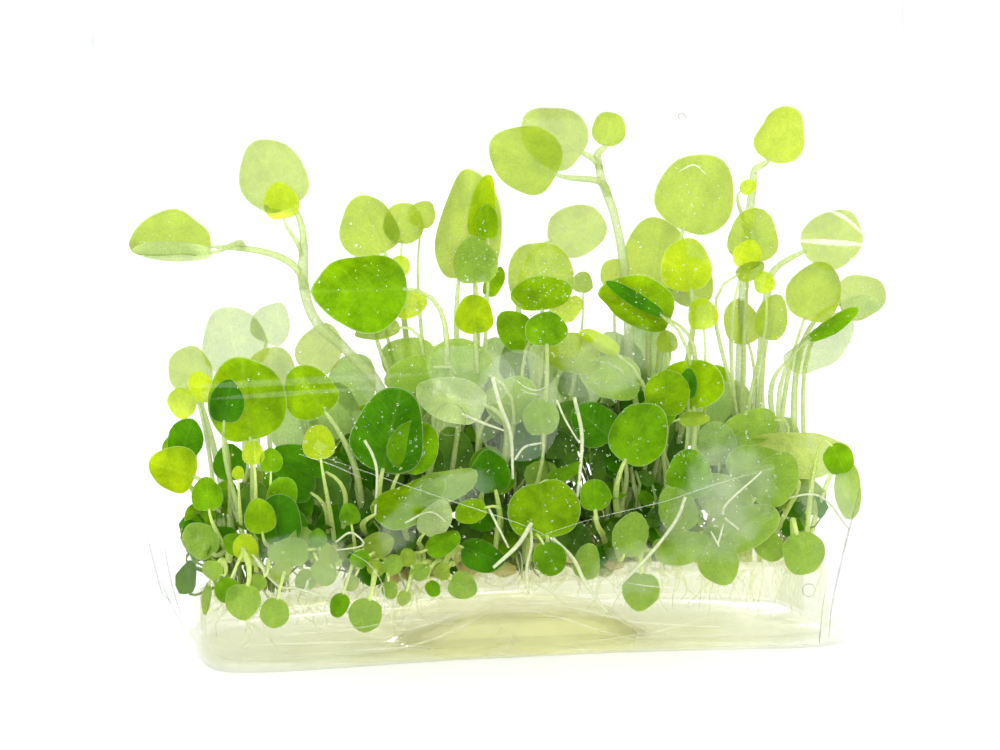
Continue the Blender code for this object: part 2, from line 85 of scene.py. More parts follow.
# The gel, with the clouded sheet inside its back, its skin, and a sheet under it whose yellow tint is painted
# light: the gel-yellowed light and shade on the surface under the bag
GEL_TOP, GEL_SLOPE, GEL_EDGE = 9.4, 0.045, 1.4
GEL_INSET_SIDES, GEL_INSET_FRONT, GEL_LIFT = 1.6, 5.2, 0.65
GEL_SIDES, GEL_FOOT_INSET, GEL_FOOT_SHARE = 96, 0.35, 0.66
CLOUD_INSIDE, CLOUD_MARGIN = 0.6, 0.8
SKIN_DEPTH = 0.3
LIGHT_SHEET_INSET, LIGHT_SHEET_LIFT = 0.9, 0.36
ROOT_REACH = 42.5  # how far to either side a root in the gel may end
CALLUS_LUMPS = 30

# The crowns of young growth. The outer two are open: they have fewer leaves, and paler ones
CROWN_SPACING, CROWN_HALF_WIDTH, CROWN_HALF_DEPTH = 18.4, 8.9, 9.3
CROWN_TOPS = (25.0, 31.0, 35.0, 35.0, 29.0)
OPEN_CROWNS, OPEN_SHARE = (0, 4), 0.45
CROWN_ROOTS = 13

# Leaves: where a blade is widest, how far it arches for its cup, its stalk's radius, and the share of its
# length that the stalk reaches into it
WIDEST_AT, CUP_ARCH = 0.82, 0.3
STALK_RADIUS, STALK_REACH = 0.52, 0.05
FRONT = -8  # a leaf further forward than this comes up at the bag's front
FRONT_ROOT, RAISED_ROOT = 10, 25  # where its stalk starts at the highest, unless its root is a raised one
LOW = 30  # a leaf at the front that is lower than this gets a stalk painted paler, for the light that the gel gives it

# A point is (across, up, back): across and up as seen from the viewpoint, at the bag's middle, and back from
# the bag's middle plane. Heading is the way that a leaf's tip points, in degrees: 0 to the right, 90 up.
# Pitch leans the tip forward, roll turns the blade about its midrib, cup raises its margins, and root is
# where it grows. Tip draws the tip out, and notch cuts into the base, each by a share of half the length.
Leaf = namedtuple(
    "Leaf", "name tone centre length width heading pitch roll cup root tip notch", defaults=(0, 0)
)
LEAVES = [
    # The shoot at the far left and the leaves round it
    Leaf("leaf_01", "pale", (-48.1, 55.6, -1.5), 11.6, 9.0, 178, 4, 50, 0.5, (-30.4, 48.9, -3.2)),
    Leaf("leaf_02", "faint", (-33.3, 65.6, -2.5), 10.4, 9.4, 124, 2, 12, 0.3, (-28.9, 56.3, -3.0)),
    Leaf("leaf_03", "sheer", (-39.0, 42.0, 5.0), 9.6, 9.4, 100, 0, 8, 0.25, (-37.5, 16.7, 3)),
    Leaf("leaf_04", "faint", (-45.0, 37.8, 2.0), 7.0, 6.4, 105, 0, -8, 0.2, (-40.5, 14.7, 2)),
    Leaf("leaf_05", "grass", (-37.3, 33.6, -11.0), 11.6, 10.8, 96, -4, 6, 0.35, (-36.5, 15.7, -4)),
    Leaf("leaf_06", "grass", (-28.3, 34.6, -12.5), 7.6, 7.4, 128, 0, -6, 0.3, (-20.5, 20.7, -4)),
    Leaf("leaf_07", "lime", (-47.9, 23.4, -4.0), 6.6, 6.6, 160, 6, 22, 0.5, (-41.0, 14.7, -3)),
    Leaf("leaf_08", "deep", (-33.0, 16.1, -13.6), 7.2, 6.6, 84, 4, 8, 0.3, (-33.5, 12.7, -5)),
    Leaf("leaf_09", "hazy", (-44.1, 13.1, -7.0), 5.5, 4.7, 132, 0, 10, 0.2, (-39.0, 11.7, -4)),
    Leaf("leaf_10", "hazy", (-38.1, 4.1, -20.2), 4.9, 4.8, 252, 0, 0, 0.15, (-40.0, 13, -7)),
    Leaf("leaf_11", "hazy", (-20.4, 2.1, -19.8), 4.7, 4.6, 254, 0, 0, 0.15, (-18.5, 14, -8)),
    # Over the second crown
    Leaf("leaf_12", "deep", (-16.6, 29.0, -13.2), 12.0, 10.2, 78, 2, -8, 0.35, (-18.0, 17.7, -4)),
    Leaf("leaf_13", "grass", (-14.2, 19.3, -15.6), 11.0, 7.6, 28, 0, 34, 0.4, (-19.0, 15.7, -4)),
    Leaf("leaf_14", "pale", (-19.4, 58.4, 2.0), 8.8, 8.6, 118, 0, -10, 0.3, (-14.5, 22.7, 2)),
    Leaf("leaf_15", "vivid", (-20.6, 49.1, -9.5), 12.4, 11.0, 182, 2, -8, 0.35, (-12.5, 24, -7), 0.16),
    Leaf("leaf_16", "hazy", (-13.6, 38.7, -3.5), 9.0, 7.4, 152, 0, 14, 0.35, (-15.5, 23, -1)),
    # Over the middle crown
    Leaf("leaf_17", "veiled", (-7.9, 33.8, -13.2), 9.8, 6.8, 166, 2, -14, 0.2, (-3.5, 22.7, -5)),
    Leaf("leaf_18", "pale", (-5.7, 58.4, -5.0), 15.4, 9.6, 82, 0, 16, 0.5, (-6.0, 22.7, 1)),
    Leaf("leaf_19", "lime", (-4.7, 45.7, -11.5), 5.5, 5.4, 94, 0, 0, 0.2, (-4.0, 23.7, -2)),
    Leaf("leaf_20", "vivid", (5.7, 43.7, -13.4), 5.0, 5.9, 92, 10, 0, 0.35, (4.5, 22.7, -4)),
    Leaf("leaf_21", "pale", (4.6, 51.3, -9.0), 9.8, 9.4, 96, -6, 6, 0.4, (1.0, 22.7, -1)),
    Leaf("leaf_22", "grass", (5.3, 17.8, -15.6), 8.6, 10.2, 98, 0, 4, 0.25, (3.0, 12.7, -5), -0.16),
    Leaf("leaf_23", "hazy", (-6.3, 6.4, -18.0), 4.0, 3.9, 330, 0, 0, 0.15, (-5.5, 15, -7)),
    Leaf("leaf_24", "deep", (-2.3, 23.1, -12.6), 6.0, 5.6, 104, 0, -10, 0.3, (-1.0, 16.7, -5)),
    # Over the fourth crown, with the tall shoot
    Leaf("leaf_25", "vivid", (12.7, 19.7, -15.4), 4.5, 4.4, 92, 0, 0, 0.15, (14.5, 13.7, -5)),
    Leaf("leaf_26", "vivid", (19.0, 28.7, -14.2), 9.2, 8.2, 64, 0, 6, 0.3, (16.5, 17.7, -4)),
    Leaf("leaf_27", "leafy", (26.2, 22.7, -15.0), 7.0, 6.7, 82, 0, -8, 0.25, (23.5, 14.7, -5)),
    Leaf("leaf_28", "hazy", (19.3, 5.6, -18.2), 5.4, 5.3, 268, 0, 0, 0.2, (19.0, 15, -7)),
    Leaf("leaf_29", "grass", (26.2, 35.7, -12.0), 7.2, 9.6, 100, 0, -6, 0.3, (24.0, 22.7, -4)),
    Leaf("leaf_30", "pale", (9.4, 39.7, -9.5), 8.0, 6.6, 172, 0, 34, 0.3, (17.0, 23.7, -3)),
    Leaf("leaf_31", "grass", (18.5, 46.9, -10.0), 10.8, 8.2, 158, 4, 30, 0.5, (19.5, 23.7, -2)),
    Leaf("leaf_32", "young", (25.6, 52.8, -8.0), 7.6, 7.4, 102, 0, 6, 0.25, (23.5, 23.7, -1)),
    Leaf("leaf_33", "pale", (21.3, 54.0, 2.5), 11.6, 9.4, 84, 0, -8, 0.3, (20.5, 23.7, 3)),
    Leaf("leaf_34", "faint", (10.1, 57.8, 4.0), 8.8, 7.6, 22, 0, 6, 0.3, (4.5, 23.7, 4)),
    Leaf("leaf_35", "pale", (2.6, 68.0, -2.5), 10.4, 9.6, 152, 0, 6, 0.3, (13.4, 62.0, -1.2)),
    Leaf("leaf_36", "faint", (6.7, 71.1, 1.5), 9.8, 8.8, 150, 0, -6, 0.3, (11.6, 65.9, 1.6)),
    Leaf("leaf_37", "pale", (14.6, 72.1, -1.0), 5.0, 4.9, 78, 0, 0, 0.25, (12.9, 69.0, 0.0)),
    Leaf("leaf_38", "pale", (26.9, 63.1, -2.0), 11.6, 11.4, 72, 0, -6, 0.3, (21.5, 23.7, 0.5)),
    # Over the last crown, with the shoots at the right
    Leaf("leaf_39", "bright", (38.9, 71.3, 0.0), 8.4, 7.4, 66, 0, 12, 0.3, (35.6, 66.6, 0.5)),
    Leaf("leaf_40", "faint", (46.4, 56.8, -0.5), 9.4, 8.6, 28, 0, 10, 0.3, (37.9, 50.3, -2.0)),
    Leaf("leaf_41", "faint", (50.7, 48.3, 0.5), 7.2, 6.8, 18, 0, -14, 0.25, (41.5, 18.7, 2)),
    Leaf("leaf_42", "sheer", (44.6, 42.1, -6.5), 11.8, 8.0, 36, 0, 40, 0.5, (40.5, 18.7, 0)),
    Leaf("leaf_43", "misty", (42.2, 26.3, -8.5), 14.4, 8.4, 356, 0, 30, 0.45, (35.0, 18, -5)),
    Leaf("leaf_44", "hazy", (38.4, 22.1, -14.0), 8.4, 7.0, 48, 0, 10, 0.3, (34.0, 14, -7)),
    Leaf("leaf_45", "hazy", (42.7, 11.1, -20.0), 6.2, 6.1, 286, 0, -8, 0.2, (41.5, 16, -8)),
    Leaf("leaf_46", "hazy", (33.6, 15.0, -17.6), 12.0, 6.6, 24, 0, 14, 0.3, (31.5, 16, -7)),
    # At the back
    Leaf("leaf_47", "vivid", (-24.0, 31.7, 12.0), 10.0, 9.0, 100, -8, 4, 0.3, (-20.0, 18.7, 4)),
    Leaf("leaf_48", "vivid", (29.0, 33.7, 11.5), 10.0, 9.2, 80, -8, -4, 0.3, (24.0, 18.7, 4)),
]

# Smaller leaves that can be told apart, each with a stalk of its own that starts from its root
Small = namedtuple("Small", "tone centre length width heading roll root")
SMALL_LEAVES = [
    # Round the shoot at the far left, and above the first crown
    Small("glow", (-32.1, 61.9, -3.4), 5.2, 5.0, 98, 0, (-29.2, 54.0, -3.2)),
    Small("veiled", (-47.7, 54.7, -4.6), 11.2, 2.8, 178, 0, (-37.5, 55.0, -2.6)),
    Small("sheer", (-33.4, 44.4, 3.0), 6.2, 5.8, 70, -8, (-35.0, 17, 2)),
    Small("faint", (-26.6, 40.8, 3.5), 7.4, 6.6, 60, 12, (-27.0, 17, 2)),
    Small("young", (-46.3, 32.9, -1.0), 4.4, 4.2, 262, 0, (-42.0, 16, -1)),
    Small("faint", (-33.4, 37.4, -8.0), 7.4, 7.0, 82, 0, (-33.0, 16, -3)),
    Small("deep", (-40.0, 33.2, -12.4), 6.0, 4.8, 80, 0, (-38.0, 16, -5)),
    Small("young", (-43.6, 35.4, -9.0), 4.6, 3.4, 120, 0, (-40.0, 15, -3)),
    Small("young", (-27.0, 27.3, -13.6), 4.8, 4.5, 98, 0, (-24.5, 15, -6)),
    Small("young", (-36.4, 25.8, -12.6), 3.4, 3.1, 96, 0, (-35.8, 15, -6)),
    Small("vivid", (-33.8, 24.7, -13.0), 3.4, 3.2, 88, 0, (-33.0, 15, -6)),
    Small("young", (-38.5, 22.9, -12.0), 1.9, 1.7, 90, 0, (-38.0, 15, -6)),
    Small("deep", (-45.9, 27.8, -1.5), 6.0, 5.0, 74, 0, (-43.0, 15, -1)),
    Small("leafy", (-46.8, 26.0, 2.0), 5.4, 5.0, 100, 0, (-43.0, 15, 1)),
    Small("deep", (-29.6, 24.6, -10.5), 8.4, 4.2, 158, 40, (-24.0, 17, -5)),
    Small("deep", (-31.0, 21.6, -9.5), 7.0, 5.4, 150, 20, (-26.0, 15, -5)),
    Small("grass", (-35.4, 16.6, -14.8), 4.8, 4.4, 96, 0, (-34.0, 12, -6)),
    Small("hazy", (-29.4, 12.6, -14.4), 4.6, 4.4, 90, 0, (-29.6, 9, -8)),
    Small("vivid", (-43.0, 19.8, -8.2), 4.6, 4.4, 96, 0, (-40.5, 13, -5)),
    Small("leafy", (-44.2, 16.8, -4.0), 4.4, 3.8, 200, 0, (-40.5, 13, -3)),
    Small("vivid", (-32.2, 20.0, -12.5), 4.8, 4.2, 70, 0, (-32.5, 13, -6)),
    Small("deep", (-30.9, 15.0, -13.2), 5.6, 4.4, 96, 0, (-31.5, 12, -6)),
    Small("young", (-37.6, 12.2, -14.6), 3.7, 3.5, 100, 0, (-35.0, 8.5, -9)),
    Small("leafy", (-39.0, 12.6, -12.0), 3.6, 3.2, 160, 0, (-36.0, 8.5, -8)),
    Small("hazy", (-31.4, 11.4, -15.6), 5.6, 4.0, 186, 10, (-27.5, 8.5, -9)),
    Small("leafy", (-27.1, 13.4, -15.8), 2.7, 2.5, 98, 0, (-25.8, 8.8, -9)),
    Small("leafy", (-22.6, 16.9, -15.8), 3.1, 2.9, 100, 0, (-21.5, 9, -9)),
    Small("hazy", (-43.2, 4.4, -14.0), 4.2, 1.7, 262, 35, (-40.5, 9.4, -9)),
    Small("leafy", (-40.4, 5.8, -19.4), 3.7, 3.3, 248, 0, (-36.5, 9.8, -10)),
    Small("hazy", (-33.5, 2.4, -20.0), 4.2, 4.0, 258, 0, (-31.0, 9, -10)),
    Small("hazy", (-26.2, 8.4, -16.4), 3.8, 3.5, 300, 0, (-28.0, 10, -9)),
    Small("hazy", (-29.0, 7.2, -15.0), 3.4, 3.0, 230, 0, (-28.0, 11, -9)),
    Small("leafy", (-24.2, 3.6, -18.6), 3.6, 2.6, 250, 0, (-21.0, 10, -9)),
    Small("faint", (-18.5, 12.5, -15.0), 4.6, 3.6, 20, 0, (-21.0, 9, -9)),
    Small("vivid", (-13.4, 26.8, -14.6), 7.6, 7.0, 62, 0, (-17.0, 18, -6)),
    # Over the second and the middle crown
    Small("pale", (-14.6, 58.8, 1.0), 6.0, 5.8, 84, 0, (-13.0, 24, 1)),
    Small("pale", (-11.8, 60.0, 3.0), 4.0, 3.8, 80, 0, (-11.0, 24, 3)),
    Small("young", (-13.9, 47.2, -7.6), 5.4, 4.2, 12, -20, (-12.5, 24, -5)),
    Small("young", (-15.2, 52.6, -2.0), 3.2, 3.0, 60, 0, (-12.8, 24, -2)),
    Small("pale", (-18.4, 43.4, -8.6), 6.4, 2.8, 190, 20, (-12.8, 26, -4)),
    Small("grass", (-2.7, 58.9, -7.2), 5.0, 3.2, 92, 0, (-3.2, 24, -1)),
    Small("lime", (-3.4, 60.8, -6.2), 9.6, 3.8, 82, 0, (-3.2, 24, -1)),
    Small("hazy", (-4.6, 53.4, -6.6), 6.6, 6.4, 96, 0, (-3.8, 24, 0)),
    Small("vivid", (-1.8, 50.4, -2.0), 4.6, 2.8, 60, 20, (-3.0, 24, 0)),
    Small("hazy", (-6.6, 38.6, -10.4), 8.8, 7.2, 160, 14, (-2.0, 22, -4)),
    Small("hazy", (-13.8, 37.0, -9.6), 7.4, 5.0, 200, 10, (-9.0, 20, -4)),
    Small("young", (8.6, 46.6, -10.2), 5.2, 3.8, 30, 30, (5.0, 24, -3)),
    Small("leafy", (1.4, 43.5, -4.0), 6.4, 5.2, 130, 0, (1.0, 24, -1)),
    Small("grass", (4.8, 48.8, -10.6), 4.8, 8.6, 96, 0, (1.6, 24, -1)),
    Small("pale", (10.9, 50.3, -5.0), 3.1, 3.0, 92, 0, (8.0, 24, -1)),
    Small("hazy", (5.0, 31.0, -13.4), 5.2, 5.1, 96, 0, (2.6, 21, -6)),
    Small("hazy", (0.6, 33.6, -9.6), 7.6, 6.4, 40, 0, (-0.5, 20, -4)),
    Small("grass", (-5.2, 17.2, -16.4), 4.6, 3.4, 196, 10, (-1.5, 14, -8)),
    Small("hazy", (-8.9, 21.2, -16.0), 9.6, 4.8, 16, 10, (-14.0, 17, -8)),
    Small("veiled", (-10.2, 16.3, -16.4), 5.8, 4.4, 54, 10, (-12.0, 10, -8)),
    Small("vivid", (-9.2, 12.8, -16.2), 5.2, 3.6, 26, 20, (-12.5, 9, -8)),
    Small("deep", (-3.4, 10.9, -15.2), 6.4, 4.8, 340, 14, (-7.0, 12.5, -7)),
    Small("leafy", (6.4, 10.4, -17.2), 5.0, 4.6, 296, 0, (3.0, 15, -8)),
    Small("leafy", (8.4, 23.0, -14.4), 5.6, 2.6, 24, 30, (3.4, 17, -6)),
    Small("leafy", (-2.8, 24.0, -10.0), 5.4, 5.0, 80, 0, (-2.0, 15, -4)),
    Small("vivid", (-0.6, 21.6, -11.6), 3.6, 3.2, 20, 0, (-2.0, 15, -5)),
    # Over the fourth crown
    Small("grass", (23.0, 34.5, -12.8), 6.6, 6.4, 84, 0, (24.0, 20, -5)),
    Small("deep", (26.0, 35.8, -13.2), 4.4, 2.6, 92, 0, (24.6, 20, -5)),
    Small("pale", (26.4, 50.4, -5.0), 7.2, 6.6, 96, 0, (23.5, 24, -1)),
    Small("young", (27.9, 45.8, -8.6), 4.6, 4.4, 98, 0, (24.5, 24, -3)),
    Small("deep", (18.2, 48.0, -11.6), 9.6, 2.0, 149, 10, (21.5, 24, -3)),
    Small("pale", (22.9, 41.8, -9.4), 3.2, 3.1, 96, 0, (21.5, 24, -4)),
    Small("young", (13.2, 41.6, -10.4), 6.4, 3.0, 150, 40, (17.5, 24, -3)),
    Small("pale", (15.4, 51.6, 2.0), 4.4, 4.2, 90, 0, (16.6, 24, 2)),
    Small("deep", (12.4, 30.0, -13.0), 6.8, 6.2, 140, 0, (15.0, 18, -5)),
    Small("hazy", (15.0, 36.6, -10.6), 8.6, 6.4, 168, 10, (19.0, 21, -4)),
    Small("pale", (26.9, 30.8, -13.6), 4.4, 2.4, 4, 20, (27.6, 22, -6)),
    Small("hazy", (17.8, 14.0, -16.4), 6.4, 5.0, 74, 0, (15.8, 10, -8)),
    Small("hazy", (25.2, 12.2, -17.2), 8.0, 5.2, 8, 14, (20.5, 12, -8)),
    Small("hazy", (30.7, 9.8, -18.0), 6.4, 5.8, 300, 0, (28.0, 16, -8)),
    Small("hazy", (11.6, 10.0, -14.0), 5.2, 3.8, 84, 0, (11.0, 8, -7)),
    Small("vivid", (22.0, 32.0, -12.0), 6.0, 5.0, 40, 0, (20.0, 20, -5)),
    # Over the last crown
    Small("pale", (35.1, 57.0, -2.5), 8.0, 7.4, 84, 0, (33.6, 26, 1)),
    Small("veiled", (50.8, 46.8, -1.0), 5.6, 3.4, 12, 0, (43.0, 24, 2)),
    Small("glow", (34.4, 54.2, -5.0), 4.4, 4.2, 70, 0, (33.4, 26, 0)),
    Small("vivid", (46.8, 44.4, -9.4), 8.6, 2.6, 32, 20, (41.5, 20, -2)),
    Small("pale", (34.8, 52.0, -5.6), 4.4, 3.0, 20, 20, (33.4, 26, 0)),
    Small("young", (36.7, 50.3, -6.6), 3.3, 3.1, 100, 0, (34.6, 26, -1)),
    Small("pale", (44.0, 49.0, -3.4), 8.8, 8.0, 70, 0, (39.5, 20, 1)),
    Small("pale", (37.9, 45.3, -4.5), 6.8, 4.8, 80, 0, (36.0, 20, 0)),
    Small("pale", (33.5, 44.6, 2.0), 6.8, 5.4, 110, 0, (34.0, 20, 2)),
    Small("young", (34.4, 63.9, -1.0), 2.6, 2.2, 30, 0, (33.9, 58, 0)),
    Small("hazy", (36.0, 23.8, -11.4), 9.4, 6.0, 170, 10, (38.0, 14, -5)),
    Small("hazy", (34.8, 29.2, -6.4), 8.6, 5.2, 200, 20, (37.5, 16, -3)),
    Small("hazy", (31.0, 19.4, -14.4), 8.4, 6.4, 150, 10, (33.0, 12, -6)),
    Small("vivid", (47.7, 24.8, -12.4), 4.8, 4.4, 296, 0, (43.0, 22, -7)),
    Small("hazy", (49.2, 20.2, -9.0), 8.8, 4.0, 274, 20, (43.5, 20, -5)),
    Small("hazy", (38.0, 12.2, -16.4), 5.0, 4.0, 320, 0, (36.5, 10, -8)),
    Small("hazy", (24.6, 17.6, -15.4), 7.0, 5.4, 110, 0, (24.0, 11, -7)),
]

Shoot = namedtuple("Shoot", "name foot_radius tip_radius points")
SHOOTS = [
    Shoot("shoot_1", 0.85, 0.7, [
        (-15.5, 18.7, 0.5), (-17.5, 33.7, -1), (-23, 40.7, -2.4),
        (-27.2, 44.7, -3), (-28.9, 49.7, -3.2), (-28.9, 55.7, -3),
    ]),
    Shoot("shoot_2", 0.8, 0.6, [
        (17.2, 19.7, 1.5), (17.6, 37.7, 1), (17, 50.7, -0.5),
        (15.4, 59.7, -0.8), (13.6, 64.7, -0.2), (12.9, 68.3, 0),
    ]),
    Shoot("shoot_3", 0.75, 0.6, [
        (33.5, 15.7, 3), (33.4, 35.7, 3), (34, 53.7, 2), (34.6, 59.7, 1.2), (35.2, 65.9, 0.6),
    ]),
    Shoot("shoot_4", 0.75, 0.6, [
        (37.5, 15.7, 0.5), (36.4, 31.7, 0.5), (36.6, 42.7, 0), (37.4, 49.7, -1),
    ]),
]

# White roots that grow through the air of the bag: radius, and points along each
AIR_ROOTS = [
    (0.34, [(3.6, 15.6, -17.0), (1.6, 12.4, -17.6), (-1.9, 9.1, -18.0)]),
    (0.24, [(3.4, 15.4, -16.4), (3.6, 12.4, -16.6), (2.9, 9.0, -16.8), (3.2, 5.4, -17.0)]),
    (0.3, [(6.6, 13.4, -16.2), (9.6, 10.4, -16.8), (11.4, 6.8, -17.4), (14.4, 2.6, -17.2)]),
    (0.2, [(-2.6, 17.8, -15.6), (-1.0, 14.6, -16.2), (0.3, 12.0, -16.4)]),
    (0.26, [(25.7, 19.4, -17.4), (24.4, 16.0, -17.8), (20.8, 11.2, -18.2), (16.0, 6.2, -18.4)]),
    (0.22, [(-20.4, 27.6, -15.0), (-19.2, 25.4, -15.4), (-18.6, 22.6, -15.6), (-18.9, 16.9, -15.6)]),
    (0.3, [(-2.0, 36.6, -13.6), (-0.9, 32.6, -14.0), (0.6, 28.4, -14.0), (0.9, 22.0, -13.6)]),
    (0.2, [(-6.4, 31.4, -14.0), (-3.6, 30.2, -14.2), (-0.4, 29.0, -14.2)]),
    (0.18, [(1.2, 24.8, -14.2), (2.6, 26.6, -14.6), (5.0, 27.2, -14.8)]),
    (0.3, [(9.7, 33.8, -14.4), (10.8, 28.6, -14.8), (10.6, 23.6, -14.8), (10.2, 19.4, -14.4)]),
    (0.17, [(7.2, 33.4, -14.2), (8.4, 30.6, -14.4), (10.4, 27.2, -14.6)]),
    (0.2, [
        (-36.6, 11.0, -15.2), (-33.2, 6.6, -16.6), (-30.2, 6.0, -17.0), (-26.0, 4.6, -17.8),
        (-22.0, 2.0, -18.4),
    ]),
    (0.34, [(-36.2, 10.4, -14.6), (-34.4, 8.2, -15.2), (-31.8, 5.6, -15.8)]),
    (0.3, [(-28.2, 8.8, -14.6), (-28.8, 6.4, -15.0), (-29.4, 5.0, -15.2)]),
    (0.16, [(-24.6, 12.8, -15.6), (-22.4, 14.2, -16.2), (-20.6, 12.4, -16.2), (-24.6, 11.6, -15.6)]),
    (0.16, [(-14.6, 15.6, -15.8), (-11.0, 17.2, -16.6), (-7.8, 15.0, -16.4)]),
    (0.18, [(33.4, 14.6, -18.0), (31.2, 17.6, -18.0), (36.6, 23.0, -16.4)]),
    (0.16, [(30.6, 12.2, -18.0), (29.4, 14.4, -18.0)]),
    (0.15, [(30.4, 12.4, -18.0), (31.2, 15.4, -18.0)]),
    (0.16, [(38.0, 18.6, -13.0), (44.8, 19.6, -12.4), (49.4, 14.6, -9.0)]),
]


def crowd(rows, back, breadth, root_at):
    """Small leaves that stand at one depth, from rows of (across, up, length, heading, tone)."""
    return [
        Small(tone, (across, up, back), length, length * breadth, heading, 0, root_at(across))
        for across, up, length, heading, tone in rows
    ]


# Leaves further back, that close the gaps over the middle crowns
SMALL_LEAVES += crowd([
    (-0.9, 38.0, 8.8, 100, "dusky"), (-4.2, 33.4, 9.0, 130, "dusky"), (3.4, 39.6, 9.4, 70, "dusky"),
    (7.6, 34.2, 9.0, 96, "dusky"), (12.0, 36.4, 9.4, 60, "dusky"), (15.8, 38.8, 9.0, 110, "dusky"),
    (19.8, 40.6, 8.4, 84, "dusky"), (17.6, 34.6, 8.8, 120, "dusky"), (32.0, 32.6, 7.6, 80, "dusky"),
    (33.8, 28.6, 7.0, 100, "dusky"), (-9.6, 30.4, 8.0, 100, "dusky"), (-13.6, 33.0, 7.4, 70, "dusky"),
    (-24.6, 31.8, 8.2, 96, "dusky"), (-21.8, 36.4, 7.6, 84, "dusky"), (25.2, 30.6, 8.0, 96, "dusky"),
    (-30.2, 29.6, 7.6, 80, "dusky"), (39.0, 28.0, 7.0, 60, "dusky"),
], 4.0, 0.92, lambda across: (across * 0.9, 18, 3.5))

# The last small leaves of the runners, low at the front
SMALL_LEAVES += crowd([
    (-21.2, 10.4, 2.8, 200, "leafy"), (-18.8, 9.0, 2.6, 320, "faint"), (-16.4, 9.6, 3.0, 60, "hazy"),
    (-14.2, 10.6, 2.6, 110, "faint"), (-12.4, 8.6, 2.8, 30, "hazy"), (-22.4, 6.8, 2.4, 240, "faint"),
    (-16.8, 5.8, 2.6, 280, "hazy"), (-14.8, 4.6, 2.2, 250, "faint"), (-10.6, 6.0, 2.4, 300, "leafy"),
    (-32.4, 8.6, 3.2, 70, "faint"), (-36.0, 6.8, 2.8, 220, "hazy"), (-25.6, 11.0, 3.0, 100, "faint"),
    (-42.4, 8.8, 3.0, 150, "hazy"), (-9.2, 8.6, 2.6, 80, "faint"),
], -17.4, 0.86, lambda across: (across + 1.6, 9.4, -13))

# Dark leaves put in among the stalks of the crowns, where the growth lies in deep shade: painted shade, as
# leaves
SMALL_LEAVES += crowd([
    (-25.4, 21.8, 6.8, 80, "shaded"), (-21.4, 18.4, 6.2, 110, "shaded"), (-24.6, 15.6, 5.6, 60, "deep"),
    (-19.4, 23.0, 5.8, 96, "deep"), (-36.4, 18.8, 5.4, 70, "shaded"), (-11.4, 24.4, 5.8, 84, "shaded"),
    (-7.6, 26.4, 6.2, 110, "shaded"), (2.2, 27.0, 6.8, 76, "deep"), (7.2, 26.0, 6.4, 100, "shaded"),
    (9.0, 30.6, 6.0, 60, "shaded"), (15.2, 24.2, 6.8, 84, "shaded"), (20.8, 18.8, 6.2, 100, "deep"),
    (23.4, 27.0, 5.8, 70, "shaded"), (30.2, 27.2, 6.4, 96, "dusky"), (-13.2, 12.4, 5.0, 80, "shaded"),
    (9.6, 13.8, 5.6, 110, "shaded"), (14.0, 10.2, 4.8, 70, "deep"), (-39.6, 24.4, 5.2, 84, "deep"),
], -6.6, 0.9, lambda across: (across * 0.95, 12, -4))

# Folds of the film, strips of painted glare, and grey lines of painted shade along its bent edges: width,
# points along each as (across, up), and the finish
CREASES = [
    (0.16, [(-27.6, 25.6), (-10.9, 19.8), (2.9, 15.1), (8.3, 12.0)], "whitened fold"),
    (0.14, [(4.4, 13.6), (12.4, 16.2), (22.9, 18.8), (30.0, 21.2), (38.4, 23.6)], "whitened fold"),
    (0.16, [(-22.7, 11.4), (-19.8, 9.6), (-17.8, 6.4), (-17.6, 2.6)], "whitened fold"),
    (0.2, [(16.3, 7.1), (20.6, 6.4), (26.3, 6.1)], "whitened fold"),
    (0.3, [(-38.0, -2.4), (-30.0, -2.0), (-19.4, -1.7)], "soft fold"),
    (0.24, [(-23.7, -3.0), (-14.3, -2.4), (-7.1, 0.1), (-1.3, 3.4)], "soft fold"),
    (0.22, [(-1.3, 3.4), (5.6, 2.4), (12.6, 0.2), (19.1, -1.7)], "soft fold"),
    (0.24, [(19.1, -1.7), (30.0, -1.9), (44.6, -2.2)], "soft fold"),
    # Strips of painted glare: white where the film catches the light
    (0.2, [(1.4, 36.2), (2.8, 35.2), (4.4, 34.8), (5.8, 35.4)], "glare"),
    (0.16, [(2.0, 35.0), (3.2, 34.4), (5.0, 34.2)], "glare"),
    (0.18, [(-29.8, 25.6), (-25.0, 24.0), (-20.6, 22.0)], "whitened fold"),
    (0.2, [(24.4, 66.0), (26.6, 67.0), (28.4, 65.6)], "glare"),
    (0.5, [(45.0, 60.8), (48.0, 59.6), (51.0, 57.0)], "glare"),
    (0.8, [(41.6, 56.2), (46.0, 56.0), (51.2, 55.6)], "glare"),
    (0.3, [(-16.0, -0.4), (-9.0, 1.6), (-2.0, 5.6), (1.6, 8.2)], "soft fold"),
    (0.2, [(-30.0, -0.6), (-22.0, 0.2), (-14.0, 1.4), (-6.0, 0.6)], "soft fold"),
    (0.24, [(2.0, 4.6), (10.0, 3.2), (20.0, 1.0), (33.0, 0.4)], "soft fold"),
    (0.18, [(8.0, -2.0), (16.0, -1.2), (24.0, 0.4), (30.0, 2.6)], "soft fold"),
    # Grey lines of painted shade along the bag's left and right edges, where the film turns away from the eye
    (0.22, [(-53.2, 19.4), (-51.6, 13.0), (-49.6, 5.0), (-46.6, -4.0)], "bent film"),
    (0.16, [(-49.4, 13.0), (-48.4, 7.0), (-46.6, 0.6)], "bent film"),
    (0.16, [(-50.6, 8.8), (-49.2, 5.4), (-47.3, 1.4)], "bent film"),
    (0.3, [(50.8, 20.6), (48.8, 12.4), (47.0, 3.8), (46.6, -1.0)], "bent film"),
    (0.16, [(46.4, 8.4), (45.6, 3.0), (45.2, -2.6)], "bent film"),
]
